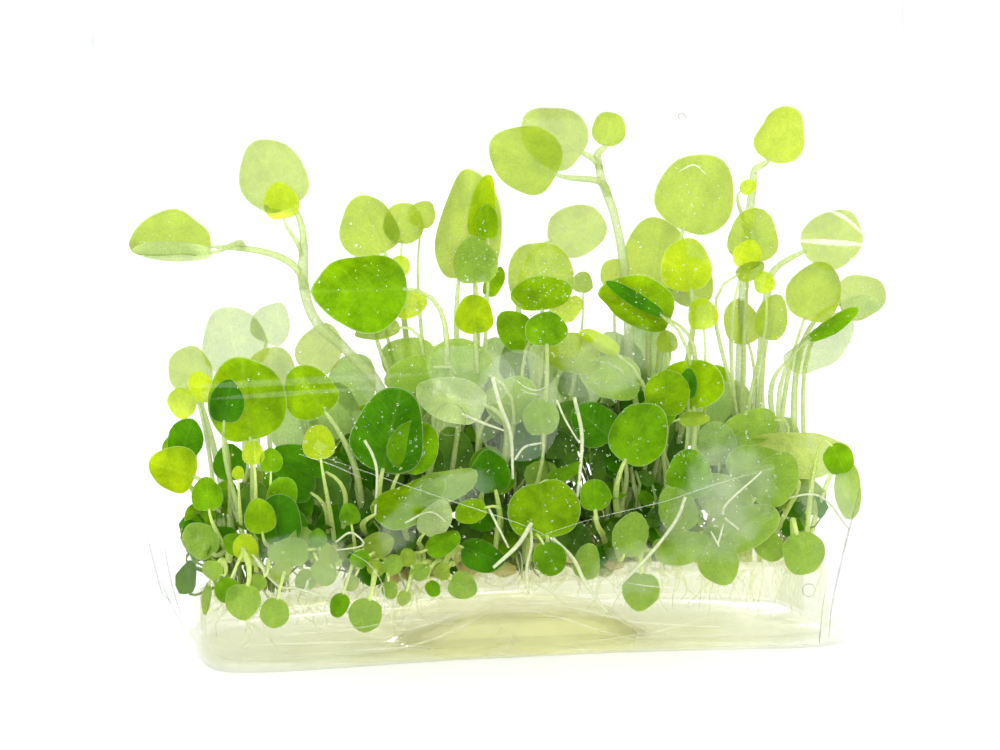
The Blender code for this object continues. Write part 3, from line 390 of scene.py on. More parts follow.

# Fogged and streaked patches of the film, and grey patches of painted shade at its ends: (across, up) of the
# middle, width, height, turn in degrees, and the finish
FOGGED = [
    ((1.4, 32.4), 13.8, 15.0, 12, "fogged film"),
    ((-5.0, 37.0), 12.0, 9.0, -20, "fogged film"),
    ((14.6, 38.6), 17.2, 10.8, 24, "thinning fog"),
    ((-8.4, 20.4), 15.2, 6.2, 14, "thinning fog"),
    ((-15.6, 14.6), 9.2, 6.4, 60, "thinning fog"),
    ((32.6, 20.8), 16.1, 15.0, -8, "thinning fog"),
    ((29.2, 15.6), 17.2, 13.8, 30, "thinning fog"),
    ((46.6, 18.8), 8.7, 11.5, 60, "thinning fog"),
    ((-28.6, 36.2), 39.0, 1.4, 3, "streaked film"),
    ((-30.0, 34.4), 31.0, 0.9, 4, "streaked film"),
    # Grey patches of painted shade at the film's two ends
    ((48.9, 16.0), 3.9, 13.8, 14, "dulled film"),
    ((-46.4, 8.0), 8.0, 13.8, 14, "dulled film"),
    ((-27.6, 9.6), 17.2, 10.8, -10, "thinning fog"),
    ((18.2, 8.6), 13.8, 9.2, 10, "thinning fog"),
]

# Where a bubble has dried on the film: (across, up) and radius
BUBBLES = [
    ((-15.6, 67.7), 0.55), ((18.9, 71.4), 0.55), ((24.9, 73.8), 0.5),
    ((-57.0, 56.1), 0.3), ((-41.9, 49.6), 0.3), ((-8.1, 30.6), 2.2), ((43.6, 5.8), 0.9),
]

# Where fine drops have gathered on the film: (across, up), how far they spread, and how many
MISTED = [
    ((6.0, 49.4), 2.6, 90), ((-5.1, 54.2), 3.0, 44), ((27.4, 63.2), 3.2, 34), ((19.4, 47.6), 2.8, 50),
    ((37.2, 56.6), 2.4, 50), ((51.4, 48.6), 2.2, 18), ((44.9, 42.4), 3.2, 34), ((-48.6, 56.6), 2.8, 22),
    ((-14.6, 59.6), 3.6, 22), ((28.0, 20.6), 7.5, 170), ((7.6, 26.4), 7.5, 120), ((-22.4, 31.8), 6.5, 60),
    ((33.4, 43.6), 5.0, 50), ((-19.8, 49.4), 3.4, 22), ((2.0, 36.6), 7.0, 60), ((-14.0, 24.0), 6.0, 60),
]

# Each leaf tone: the colour it reflects, the colour of the light that comes through it, the share that is
# seen straight through it, and its slot
Tone = namedtuple("Tone", "reflected passed clear slot")
TONES = {
    "sheer": Tone("#A6BE6C", "#748C28", 0.3, "leaf_pale"),
    "faint": Tone("#88A838", "#9EAC32", 0.15, "leaf_pale"),
    "pale": Tone("#86AA30", "#A2AE28", 0.06, "leaf_pale"),
    "hazy": Tone("#84AA42", "#96AE3C", 0.04, "leaf_pale"),
    "veiled": Tone("#B4CC88", "#BED08C", 0.1, "leaf_pale"),
    "misty": Tone("#B8CC74", "#C4D470", 0.08, "leaf_pale"),
    "dusky": Tone("#86A85E", "#94AE62", 0.04, "leaf_pale"),
    "lime": Tone("#8CB410", "#A6B80C", 0.0, "leaf_vivid"),
    "young": Tone("#A4C420", "#BCC81C", 0.05, "leaf_vivid"),
    "bright": Tone("#98B830", "#B0BA30", 0.04, "leaf_vivid"),
    # glow is painted light: a brighter copy of the young tone, for small leaves that lie over others,
    # standing for the light that comes through both
    "glow": Tone("#B4D02C", "#CAD428", 0.05, "leaf_vivid"),
    "grass": Tone("#76A606", "#8AA804", 0.0, "leaf_vivid"),
    "vivid": Tone("#66A008", "#7AA002", 0.0, "leaf_vivid"),
    "leafy": Tone("#60980E", "#729A08", 0.0, "leaf_vivid"),
    "deep": Tone("#3C7C06", "#4C8002", 0.0, "leaf_deep"),
    # shaded is painted shade: a darker copy of the leafy greens, for leaves deep in the growth
    "shaded": Tone("#4E7A2C", "#608628", 0.0, "growth"),
}


def linear(hex_colour):
    """An sRGB hex value as linear RGB."""
    shares = [int(hex_colour[i:i + 2], 16) / 255 for i in (1, 3, 5)]
    return tuple(s / 12.92 if s <= 0.04045 else ((s + 0.055) / 1.055) ** 2.4 for s in shares)


def colour_property(name, description, hex_colour):
    return FloatVectorProperty(
        name=name, description=description, subtype="COLOR", size=3, min=0, max=1, default=linear(hex_colour)
    )


class BagSettings(bpy.types.PropertyGroup):
    crumple: FloatProperty(
        name="Crumple", description="How far the film's crumples dip inwards, in millimetres",
        default=0.7, min=0, max=1.5,
    )
    fog: FloatProperty(
        name="Fog", description="How much of the light a fogged patch of the film scatters",
        default=0.12, min=0, max=1, subtype="FACTOR",
    )
    drops: IntProperty(
        name="Drops", description="Drops of water on the inside of the film", default=420, min=0
    )


class GelSettings(bpy.types.PropertyGroup):
    colour: colour_property("Gel", "Colour that the gel leaves in the light", "#EEEFD2")
    density: FloatProperty(
        name="Density", description="How strongly the gel colours the light, for each metre",
        default=11, min=0,
    )
    roots: IntProperty(name="Roots", description="Roots that hang in the gel", default=170, min=0)


class LeafSettings(bpy.types.PropertyGroup):
    ripple: FloatProperty(
        name="Ripple", description="How far a blade's margin waves, as a share of its half width",
        default=0.07, min=0, max=0.3, subtype="FACTOR",
    )
    light_through: FloatProperty(
        name="Light Through", description="Share of a blade's light that comes through it from behind",
        default=0.52, min=0, max=1, subtype="FACTOR",
    )
    vein: FloatProperty(
        name="Veins", description="How much paler the veins are than the blade",
        default=0.05, min=0, max=1, subtype="FACTOR",
    )
    # Painted highlight: how pale the thin rim along each blade's margin is painted
    rim_highlight: FloatProperty(
        name="Rim", description="How much paler the margin is than the blade",
        default=0.3, min=0, max=1, subtype="FACTOR",
    )


class GrowthSettings(bpy.types.PropertyGroup):
    leaves: IntProperty(name="Leaves", description="Small leaves in each crown", default=130, min=0)
    smallest: FloatProperty(name="Smallest", description="Smallest leaf, in millimetres", default=2.4, min=1)
    largest: FloatProperty(name="Largest", description="Largest leaf, in millimetres", default=6.0, min=1)
    seed: IntProperty(name="Seed", description="Changes how the small growth lies", default=7)


class StageSettings(bpy.types.PropertyGroup):
    backdrop: FloatProperty(
        name="Backdrop", description="White that is seen behind the bag", default=1.04, min=0
    )
    surround: FloatProperty(name="Surround", description="Light from all round", default=1.16, min=0)
    front: FloatProperty(name="Front", description="Light from the tent's front", default=0.42, min=0)
    front_light: FloatProperty(name="Front Light", description="Soft fill from the front", default=5.0, min=0)
    back_light: FloatProperty(
        name="Back Light", description="Light from behind and above", default=2.0, min=0
    )
    floor: colour_property("Floor", "Colour of the surface that the bag stands on", "#FAFAF8")


# Finishes


def add(tree, kind, settings=(), links=()):
    """Adds a node, sets its own settings or its sockets by name or number, and links outputs to it."""
    node = tree.nodes.new("ShaderNode" + kind)
    for name, value in dict(settings).items():
        if isinstance(name, int) or name in node.inputs:
            node.inputs[name].default_value = value
        else:
            setattr(node, name, value)
    for name, output in dict(links).items():
        tree.links.new(output, node.inputs[name])
    return node


def noise_on(tree, scale, detail=2.0, roughness=0.5):
    """A noise fixed to the part, with so many waves to a metre."""
    settings = {"Scale": scale, "Detail": detail, "Roughness": roughness}
    return add(tree, "TexNoise", settings, {"Vector": add(tree, "TexCoord").outputs["Object"]}).outputs[0]


def ranged(tree, value, start, end, at_start, at_end, **settings):
    """A value that goes from at_start to at_end while another goes from start to end."""
    limits = {"From Min": start, "From Max": end, "To Min": at_start, "To Max": at_end}
    return add(tree, "MapRange", {**limits, **settings}, {0: value}).outputs[0]


def bumped(tree, height, strength, depth_mm, **settings):
    """A normal that follows a fine relief of that depth."""
    settings = {"Strength": strength, "Distance": depth_mm * MM, **settings}
    return add(tree, "Bump", settings, {"Height": height}).outputs[0]


def mixed(tree, share, first, second):
    """Two shaders mixed. The share of the second is a number or another node's output."""
    mix = add(tree, "MixShader", links={1: first, 2: second})
    if isinstance(share, float):
        mix.inputs[0].default_value = share
    else:
        tree.links.new(share, mix.inputs[0])
    return mix.outputs[0]


def see_through(tree, colour):
    return add(tree, "BsdfTransparent", {"Color": (*colour, 1)}).outputs[0]


def milky(tree, hex_colour):
    """A thin layer that scatters light evenly to both of its sides."""
    colour = {"Color": (*linear(hex_colour), 1)}
    return mixed(tree, 0.5, add(tree, "BsdfDiffuse", colour).outputs[0],
                 add(tree, "BsdfTranslucent", colour).outputs[0])


def leaf_blade(tree, tone):
    """A living leaf blade with a thin waxy skin: light from behind comes through it coloured and paler at the
    veins, a pale rim along its margin is a painted highlight, it is mottled at the scale of its cells'
    patches, and a faint gloss lies on it."""
    settings = bpy.context.scene.plant_leaves
    clear = TONES[tone].clear
    axes = add(tree, "SeparateXYZ", links={0: add(tree, "UVMap").outputs[0]})
    across = ranged(tree, axes.outputs[0], 0, 1, -1, 1, clamp=False)
    along = ranged(tree, axes.outputs[1], 0, 1, -1, 1, clamp=False)
    aside = add(tree, "Math", {"operation": "ABSOLUTE"}, {0: across}).outputs[0]
    midrib = ranged(tree, aside, 0, 0.07, 1, 0)
    # Side veins leave the midrib every 1.4 mm or so and run towards the tip
    slant = add(tree, "Math", {"operation": "MULTIPLY_ADD", 1: -0.62}, {0: aside, 2: along})
    slanted = add(tree, "CombineXYZ", links={0: slant.outputs[0]})
    waves = add(tree, "TexWave", {"Scale": 1.15, "Distortion": 1.2, "Detail": 1.0, "Detail Scale": 2.0},
                {"Vector": slanted.outputs[0]})
    side_veins = ranged(tree, waves.outputs["Fac"], 0.9, 1.0, 0, 0.45)
    veins = add(tree, "Math", {"operation": "MAXIMUM"}, {0: midrib, 1: side_veins}).outputs[0]
    # The margin's thin pale rim, a painted highlight, and the base, where the stalk runs into the blade
    disc = add(tree, "CombineXYZ", links={0: across, 1: along}).outputs[0]
    squares = add(tree, "VectorMath", {"operation": "DOT_PRODUCT"}, {0: disc, 1: disc})
    rim_highlight = ranged(tree, squares.outputs["Value"], 0.93, 0.99, 0, settings.rim_highlight)
    base = ranged(tree, along, -0.55, -1.0, 0, 0.7)
    pale_parts = add(tree, "Math", {"operation": "MAXIMUM"}, {0: veins, 1: base})
    paler = add(tree, "Math", {"operation": "MULTIPLY", 1: settings.vein}, {0: pale_parts.outputs[0]})
    # Mottling 3 mm across, and a grain of cells 0.25 mm across
    patches = ranged(tree, noise_on(tree, 330, 3, 0.6), 0.34, 0.66, 0, 1)
    grain = noise_on(tree, 3600, 1)
    cells = ranged(tree, grain, 0.3, 0.7, 0.9, 1.1)
    contrast = 1.0 if clear == 0 else 0.45
    colours = []
    for hex_colour in (TONES[tone].reflected, TONES[tone].passed):
        flat = Vector(linear(hex_colour))
        darker = flat * (1 - 0.26 * contrast)
        lighter = Vector((flat.x * (1 + 0.3 * contrast), flat.y * (1 + 0.17 * contrast), flat.z))
        patched = add(tree, "Mix", {"data_type": "RGBA", 6: (*darker, 1), 7: (*lighter, 1)}, {0: patches})
        shaded = add(tree, "VectorMath", {"operation": "SCALE"}, {0: patched.outputs[2], "Scale": cells})
        veined = add(tree, "Mix", {"data_type": "RGBA", 7: (*linear("#DCEB78"), 1)},
                     {0: paler.outputs[0], 6: shaded.outputs[0]})
        rim_highlighted = add(tree, "Mix", {"data_type": "RGBA", 7: (*linear("#EEF4CC"), 1)},
                     {0: rim_highlight, 6: veined.outputs[2]})
        colours.append(rim_highlighted.outputs[2])
    relief = add(tree, "Math", {"operation": "MULTIPLY_ADD", 1: 0.2}, {0: grain, 2: veins})
    bump = bumped(tree, relief.outputs[0], 0.25, 0.12)
    skin = add(tree, "BsdfPrincipled", {"Roughness": 0.36, "IOR": 1.42, "Specular IOR Level": 0.12},
               {"Base Color": colours[0], "Normal": bump})
    through = add(tree, "BsdfTranslucent", links={"Color": colours[1], "Normal": bump})
    blade = mixed(tree, settings.light_through, skin.outputs[0], through.outputs[0])
    if clear > 0:
        blade = mixed(tree, clear, blade, see_through(tree, (0.97, 0.99, 0.93)))
    return blade


def soft_stem(tree, hex_colour, through_share, clear, grain_mm):
    """Soft watery plant tissue, such as a stalk or a root: pale, half clear, with fine lengthwise streaks."""
    streaks = noise_on(tree, 1 / (grain_mm * MM))
    shade = ranged(tree, streaks, 0.3, 0.7, 0.84, 1.08)
    flat = {"operation": "SCALE", 0: linear(hex_colour)}
    colour = add(tree, "VectorMath", flat, {"Scale": shade}).outputs[0]
    skin = add(tree, "BsdfPrincipled", {"Roughness": 0.35, "IOR": 1.4, "Specular IOR Level": 0.3},
               {"Base Color": colour, "Normal": bumped(tree, streaks, 0.3, 0.1)})
    through = add(tree, "BsdfTranslucent", links={"Color": colour})
    body = mixed(tree, through_share, skin.outputs[0], through.outputs[0])
    if clear > 0:
        body = mixed(tree, clear, body, see_through(tree, (0.98, 0.99, 0.95)))
    return body


def clear_film(tree):
    """Clear polypropylene film, blown thin: it hardly dims what is behind it, and shines softly where it
    turns away from the eye."""
    bump = bumped(tree, noise_on(tree, 90, 3, 0.55), 0.5, 0.5)
    edge = add(tree, "LayerWeight", {"Blend": 0.22}, {"Normal": bump})
    # Film that faces the eye has no shine at all, which also spares the renderer a ray of light
    shine = ranged(tree, edge.outputs["Fresnel"], 0.035, 1, 0, 0.3)
    gloss = add(tree, "BsdfGlossy", {"Roughness": 0.12, "Color": (0.9, 0.92, 0.92, 1)}, {"Normal": bump})
    return mixed(tree, shine, see_through(tree, (0.985, 0.988, 0.985)), gloss.outputs[0])


def scattering_film(tree, share, grain_mm, hex_colour, thinning):
    """A layer that scatters light, such as film fogged by fine water or whitened along a fold: a milky veil,
    uneven at grain_mm. A thinning one fades out towards its rim along a ragged line."""
    amount = ranged(tree, noise_on(tree, 1 / (grain_mm * MM), 3, 0.65), 0.3, 0.7, share * 0.55, share * 1.3)
    if thinning:
        # The UVs run from the middle of a patch to its rim
        from_middle = add(tree, "VectorMath", {"operation": "DISTANCE", 1: (0.5, 0.5, 0)},
                          {0: add(tree, "UVMap").outputs[0]})
        reach = add(tree, "Math", {"operation": "MULTIPLY_ADD", 1: 0.3},
                    {0: noise_on(tree, 420), 2: from_middle.outputs["Value"]})
        left = ranged(tree, reach.outputs[0], 0.46, 0.62, 1, 0, interpolation_type="SMOOTHSTEP")
        amount = add(tree, "Math", {"operation": "MULTIPLY"}, {0: amount, 1: left}).outputs[0]
    return mixed(tree, amount, see_through(tree, (0.99, 0.99, 0.99)), milky(tree, hex_colour))


def poured_gel(tree):
    """Nutrient gel, poured and set: clear with a faint yellow cast, wet and slightly uneven on top."""
    body = add(tree, "BsdfPrincipled", {
        "Base Color": (*linear("#FCFBEA"), 1), "IOR": 1.34, "Transmission Weight": 0.95,
        "Specular IOR Level": 0.3,
    }, {
        "Roughness": ranged(tree, noise_on(tree, 120), 0.3, 0.7, 0.06, 0.2),
        "Normal": bumped(tree, noise_on(tree, 260, 3), 0.35, 0.4),
    })
    glow = add(tree, "BsdfTranslucent", {"Color": (*linear("#FBFAE4"), 1)})
    cloudy = mixed(tree, 0.2, body.outputs[0], glow.outputs[0])
    return mixed(tree, 0.76, cloudy, see_through(tree, (0.99, 0.99, 0.97)))


def gel_tint(tree):
    """The gel's body, which takes a little blue out of the light on its way."""
    settings = bpy.context.scene.gel_bed
    body = {"Color": (*settings.colour, 1), "Density": settings.density}
    return add(tree, "VolumeAbsorption", body).outputs[0]


def painted_gel_light(tree):
    """Painted light under the gel: a thin clear sheet, laid as liquid wept out of the gel, that tints what it
    lies on yellow, most in the middle of the bag and towards the front. Its tint stands for the gel-yellowed
    light and shade on the surface under the bag."""
    patches = ranged(tree, noise_on(tree, 110), 0.3, 0.7, 0.7, 1.3)
    # Painted light: the yellow is strongest round a spot in the middle, 12 mm towards the front, and fades
    # out by 38 mm from it
    from_middle = add(tree, "VectorMath", {"operation": "DISTANCE", 1: (0, -12 * MM, 0)},
                      {0: add(tree, "TexCoord").outputs["Object"]})
    gathered = ranged(tree, from_middle.outputs["Value"], 8 * MM, 38 * MM, 0.38, 0.03)
    amount = add(tree, "Math", {"operation": "MULTIPLY"}, {0: patches, 1: gathered}).outputs[0]
    return mixed(tree, amount, see_through(tree, (0.99, 0.99, 0.97)), milky(tree, "#FBF7AC"))


def water_drop(tree):
    """Clean water: clear, with a sharp highlight."""
    body = add(tree, "BsdfPrincipled", {
        "Base Color": (1, 1, 1, 1), "IOR": 1.33, "Transmission Weight": 1.0, "Roughness": 0.02,
    }, {"Normal": bumped(tree, noise_on(tree, 900, 1), 0.1, 0.05)})
    return body.outputs[0]


def callus_flesh(tree):
    """Callus, the spongy tissue that young shoots grow from: granular, yellow-brown, damp."""
    grains = add(tree, "TexVoronoi", {"Scale": 900}, {"Vector": add(tree, "TexCoord").outputs["Object"]})
    colour = add(tree, "Mix", {"data_type": "RGBA", 6: (*linear("#F8F6C0"), 1), 7: (*linear("#EEDC8C"), 1)},
                 {0: noise_on(tree, 260, 3)}).outputs[2]
    flesh = add(tree, "BsdfPrincipled", {"Roughness": 0.45, "IOR": 1.38},
                {"Base Color": colour, "Normal": bumped(tree, grains.outputs[0], 0.8, 0.4, invert=True)})
    through = add(tree, "BsdfTranslucent", links={"Color": colour})
    body = mixed(tree, 0.5, flesh.outputs[0], through.outputs[0])
    return mixed(tree, 0.35, body, see_through(tree, (0.99, 0.99, 0.95)))


def painted_floor(tree):
    """A sheet of matt white acrylic: nearly even, with a very fine tooth."""
    sheet = add(tree, "BsdfPrincipled", {
        "Base Color": (*bpy.context.scene.bag_stage.floor, 1), "Roughness": 0.6, "Specular IOR Level": 0.2,
    }, {"Normal": bumped(tree, noise_on(tree, 900), 0.05, 0.1)})
    return sheet.outputs[0]


# Soft tissues: colour, the share of light that comes through from behind, the share that is seen straight
# through, and the grain in millimetres
SOFT_STEMS = {
    # Painted light: a paler stalk for leaves low at the front, standing for the light from the gel
    "low stalk": ("#E2F09C", 0.5, 0.3, 0.4),
    "leaf stalk": ("#C2D28C", 0.4, 0.3, 0.4),
    "young stem": ("#C0CE94", 0.5, 0.38, 0.4),
    "inner stalk": ("#9CB468", 0.4, 0.0, 0.4),
    "white root": ("#DCE2BE", 0.4, 0.0, 0.5),
    "root in gel": ("#FBFFDC", 0.6, 0.82, 0.5),
}

# Layers that scatter light: the share of it that they scatter, which for fog is a share of the bag's own
# setting, the grain in millimetres, the colour, and whether they thin out towards their rim
FOGS = {
    "fogged film": (1.0, 9.0, "#F4F6EE", False),
    "thinning fog": (1.15, 9.0, "#F4F6EE", True),
}
VEILS = {
    "streaked film": (0.07, 7.0, "#F4F6EE", True),
    # Painted shade: grey patches at the film's ends
    "dulled film": (0.16, 6.0, "#8C9488", True),
    # Painted shade: grey lines along the film's bent edges
    "bent film": (0.3, 2.0, "#8F958F", False),
    "whitened fold": (0.22, 0.7, "#FBFCF4", False),
    "soft fold": (0.16, 0.9, "#FBFCF0", False),
    # Painted highlights: white strips that stand for glare on the film
    "glare": (0.34, 0.7, "#FBFCF4", False),
    "dried bubble": (0.35, 0.5, "#9FA88C", False),
    "fine mist": (0.7, 0.3, "#FDFEFA", False),
    "gel skin": (0.26, 8.0, "#F3F0BC", False),
    "clouded gel": (0.46, 9.0, "#E4E8C6", False),
}
SURFACES = {
    "clear film": clear_film,
    "poured gel": poured_gel,
    "wept liquid": painted_gel_light,
    "water": water_drop,
    "callus": callus_flesh,
    "matt white sheet": painted_floor,
}
BODIES = {"poured gel": gel_tint}


def surface_of(name, tree):
    """The output that gives a finish its looks. A leaf's finish is named for its tone."""
    if name.startswith("leaf blade, "):
        return leaf_blade(tree, name.removeprefix("leaf blade, "))
    if name in SOFT_STEMS:
        return soft_stem(tree, *SOFT_STEMS[name])
    if name in FOGS:
        share, *others = FOGS[name]
        return scattering_film(tree, bpy.context.scene.culture_bag.fog * share, *others)
    if name in VEILS:
        return scattering_film(tree, *VEILS[name])
    return SURFACES[name](tree)


def finish_for(name):
    """The material of that name, made once."""
    material = bpy.data.materials.get(name)
    if material is None:
        material = bpy.data.materials.new(name)
        material.use_nodes = True
        tree = material.node_tree
        tree.nodes.clear()
        output = tree.nodes.new("ShaderNodeOutputMaterial")
        tree.links.new(surface_of(name, tree), output.inputs["Surface"])
        if name in BODIES:
            tree.links.new(BODIES[name](tree), output.inputs["Volume"])
    return material


# Places


def facing_axes():
    """Across, up and level towards the viewpoint, as unit vectors of the bag's frame."""
    across = Vector((math.cos(VIEW_TURN), -math.sin(VIEW_TURN), 0))
    forward = Vector((-math.sin(VIEW_TURN), -math.cos(VIEW_TURN), 0))
    return across, Vector((0, 0, 1)), forward


def viewing_line():
    """From the bag towards the viewpoint, as a unit vector."""
    _, up, forward = facing_axes()
    return forward * math.cos(VIEW_RISE) + up * math.sin(VIEW_RISE)


def eye_point():
    return Vector((0, 0, VIEW_HEIGHT)) + viewing_line() * VIEW_DISTANCE


def sight(across, up):
    """Where a line of sight passes the bag's middle, in millimetres."""
    right, upwards, _ = facing_axes()
    return right * across + upwards * up


def place(point):
    """Where the line of sight through (across, up) meets the upright plane that lies `back` in the bag."""
    across, up, back = point
    eye = eye_point()
    direction = sight(across, up) - eye
    return (eye + direction * ((back - eye.y) / direction.y)) * MM


def rooted(leaf):
    """Where a leaf's stalk starts: just over the gel for one that comes up at the front."""
    across, up, back = leaf.root
    if leaf.centre[2] < FRONT and up < RAISED_ROOT:
        up = min(up, FRONT_ROOT)
    return place((across, up, back))


def stalk_finish(leaf):
    """The finish of a leaf's stalk, painted paler low at the front, for the light that the gel gives it
    there.
    """
    low_at_the_front = leaf.centre[1] < LOW and leaf.centre[2] < FRONT
    return "low stalk" if low_at_the_front else "leaf stalk"


def blade_axes(heading, pitch, roll):
    """A leaf's own axes: along its midrib, across it, and out of its upper face."""
    across, up, forward = facing_axes()
    heading, pitch = math.radians(heading), math.radians(pitch)
    level = across * math.cos(heading) + up * math.sin(heading)
    along = level * math.cos(pitch) + forward * math.sin(pitch)
    normal = (forward - along * forward.dot(along)).normalized()
    normal = Matrix.Rotation(math.radians(roll), 3, along) @ normal
    return along, along.cross(normal), normal


def smooth_path(points, steps):
    """Points on a Catmull-Rom curve through the given points, with so many steps between each two."""
    points = [Vector(point) for point in points]
    ends = [points[0] * 2 - points[1], *points, points[-1] * 2 - points[-2]]
    path = []
    for before, start, end, after in zip(ends, ends[1:], ends[2:], ends[3:]):
        for i in range(steps):
            t = i / steps
            path.append(0.5 * (
                2 * start + (end - before) * t + (2 * before - 5 * start + 4 * end - after) * t**2
                + (3 * start - before - 3 * end + after) * t**3
            ))
    return [*path, points[-1]]


def bezier(root, start, end, base, steps):
    """Points on a curve from root to base that sets off towards start and comes in from end."""
    path = []
    for i in range(steps + 1):
        t = i / steps
        u = 1 - t
        path.append(root * u**3 + start * 3 * u * u * t + end * 3 * u * t * t + base * t**3)
    return path


# Blanks that are modelled once and copied

Blank = namedtuple("Blank", "points faces")


def modelled(make):
    """Runs make, which leaves one new object active in edit mode, and keeps its mesh as a blank."""
    bpy.ops.object.select_all(action="DESELECT")
    make()
    bpy.ops.object.mode_set(mode="OBJECT")
    mesh = bpy.context.object.data
    blank = Blank(np.array([v.co for v in mesh.vertices]), [tuple(f.vertices) for f in mesh.polygons])
    bpy.data.objects.remove(bpy.context.object)
    return blank


def disc_blank(sides, rings):
    """A flat round blade: a disc inset ring by ring towards its middle."""

    def make():
        bpy.ops.mesh.primitive_circle_add(vertices=sides, radius=1, fill_type="NGON")
        bpy.ops.object.mode_set(mode="EDIT")
        bpy.ops.mesh.select_all(action="SELECT")
        for _ in range(rings):
            bpy.ops.mesh.inset(thickness=0.9 / (rings + 1), depth=0)
        bpy.ops.mesh.poke()

    return modelled(make)


def stem_blank(sides, steps):
    """A straight round stem along Z from -1 to 1, with rings to bend it by and closed ends."""

    def make():
        bpy.ops.mesh.primitive_cylinder_add(vertices=sides, radius=1, depth=2, end_fill_type="NGON")
        bpy.ops.object.mode_set(mode="EDIT")
        bpy.ops.mesh.select_all(action="DESELECT")
        shape = bmesh.from_edit_mesh(bpy.context.object.data)
        for edge in shape.edges:
            low, high = sorted(v.co.z for v in edge.verts)
            edge.select = high - low > 1
        bmesh.update_edit_mesh(bpy.context.object.data)
        bpy.ops.mesh.subdivide(number_cuts=steps - 1)

    return modelled(make)


def sheet_blank(columns, rows):
    """A flat square sheet, -1 to 1 both ways."""

    def make():
        bpy.ops.mesh.primitive_grid_add(x_subdivisions=columns, y_subdivisions=rows, size=2)
        bpy.ops.object.mode_set(mode="EDIT")

    return modelled(make)


def drop_blank(segments, rings):
    """A round drop."""

    def make():
        bpy.ops.mesh.primitive_uv_sphere_add(segments=segments, ring_count=rings, radius=1)
        bpy.ops.object.mode_set(mode="EDIT")

    return modelled(make)


class Gathered:
    """Copies of blanks, each shaped in its place, gathered into one mesh with several finishes."""

    def __init__(self):
        self.points, self.faces, self.uvs, self.finishes, self.names = [], [], [], [], []
        self.count = 0

    def add(self, blank, points, finish, uvs=None):
        if finish not in self.names:
            self.names.append(finish)
        index = self.names.index(finish)
        self.faces.extend(tuple(i + self.count for i in face) for face in blank.faces)
        self.finishes.extend([index] * len(blank.faces))
        self.points.append(points)
        self.uvs.append(np.full((len(points), 2), 0.5) if uvs is None else uvs)
        self.count += len(points)

    def build(self, name, smoothing=60):
        mesh = bpy.data.meshes.new(name)
        mesh.from_pydata(np.concatenate(self.points).tolist(), [], self.faces)
        mesh.polygons.foreach_set("material_index", self.finishes)
        flat = np.concatenate(self.uvs)
        corners = np.empty(len(mesh.loops), dtype=np.int32)
        mesh.loops.foreach_get("vertex_index", corners)
        mesh.uv_layers.new(name="UVMap").data.foreach_set("uv", flat[corners].ravel())
        for finish in self.names:
            mesh.materials.append(finish_for(finish))
        mesh.shade_smooth()
        mesh.set_sharp_from_angle(angle=math.radians(smoothing))
        mesh.update()
        made = bpy.data.objects.new(name, mesh)
        bpy.context.scene.collection.objects.link(made)
        return made


def shaped_blade(blank, base, axes, length, width, cup, rng, ripple, tip=0, notch=0):
    """A copy of the disc in the form of one leaf, with its UVs: u across it, v from its base to its tip."""
    along, side, normal = (np.array(axis) for axis in axes)
    p, q = blank.points[:, 1], blank.points[:, 0]
    radius = np.sqrt(p * p + q * q)
    angle = np.arctan2(q, p)
    turns = [rng.uniform(0, 2 * math.pi) for _ in range(4)]
    # The outline: two slow waves, a drawn-out tip and a notched base
    edge = 1 + 0.03 * np.sin(3 * angle + turns[0]) + 0.02 * np.sin(5 * angle + turns[1])
    pointed = tip * np.exp(-((angle / 0.3) ** 2))
    notched = notch * np.exp(-(((math.pi - abs(angle)) / 0.34) ** 2))
    edge = edge + (pointed - notched) * radius
    reach, wide = p * edge, q * edge
    step = np.clip((reach + 1) / 2, 0, 1.04 + tip / 2) ** (1 / WIDEST_AT)
    half = width / 2
    # The surface: raised margins with ripples along them, and a groove at the midrib
    local = np.sqrt(np.clip(1 - p * p, 0.02, 1))
    rise = cup * half * q * q / local
    rise = rise + ripple * half * radius**3 * np.sin(4 * angle + turns[2])
    rise = rise + ripple * 0.5 * half * radius**3 * np.sin(7 * angle + turns[3])
    rise = rise - 0.05 * half * np.exp(-((q / 0.16) ** 2)) * (1 - radius**2)
    drop = cup * CUP_ARCH * half * (2 * step - 1) ** 2
    lopsided = rng.uniform(-0.05, 0.05)
    points = (
        np.array(base) + np.outer(length * step, along)
        + np.outer(half * wide * (1 + lopsided * np.sign(q)), side) + np.outer(rise - drop, normal)
    )
    uvs = np.stack([(q + 1) / 2, (p + 1) / 2], axis=1)
    return points, uvs


def shaped_stem(blank, path, radii, flat_normal=None, flare=1.0):
    """A copy of the stem bent along a path, its radius read along radii. flare widens its last part."""
    levels = np.unique(np.round(blank.points[:, 2], 5))
    dense = resampled(path, len(levels))
    frames = carried_frames(dense, flat_normal)
    ring_of = np.searchsorted(levels, np.round(blank.points[:, 2], 5))
    centres = np.array([list(point) for point in dense])
    sides = np.array([list(frame[1]) for frame in frames])
    normals = np.array([list(frame[2]) for frame in frames])
    shares = np.linspace(0, 1, len(levels))
    radius = np.interp(shares, np.linspace(0, 1, len(radii)), radii)
    end = np.clip((shares - 0.8) / 0.2, 0, 1)
    broad, thin = radius * (1 + (flare - 1) * end), radius * (1 - 0.35 * end * (flare > 1))
    return (
        centres[ring_of] + sides[ring_of] * (blank.points[:, 0] * broad[ring_of])[:, None]
        + normals[ring_of] * (blank.points[:, 1] * thin[ring_of])[:, None]
    )


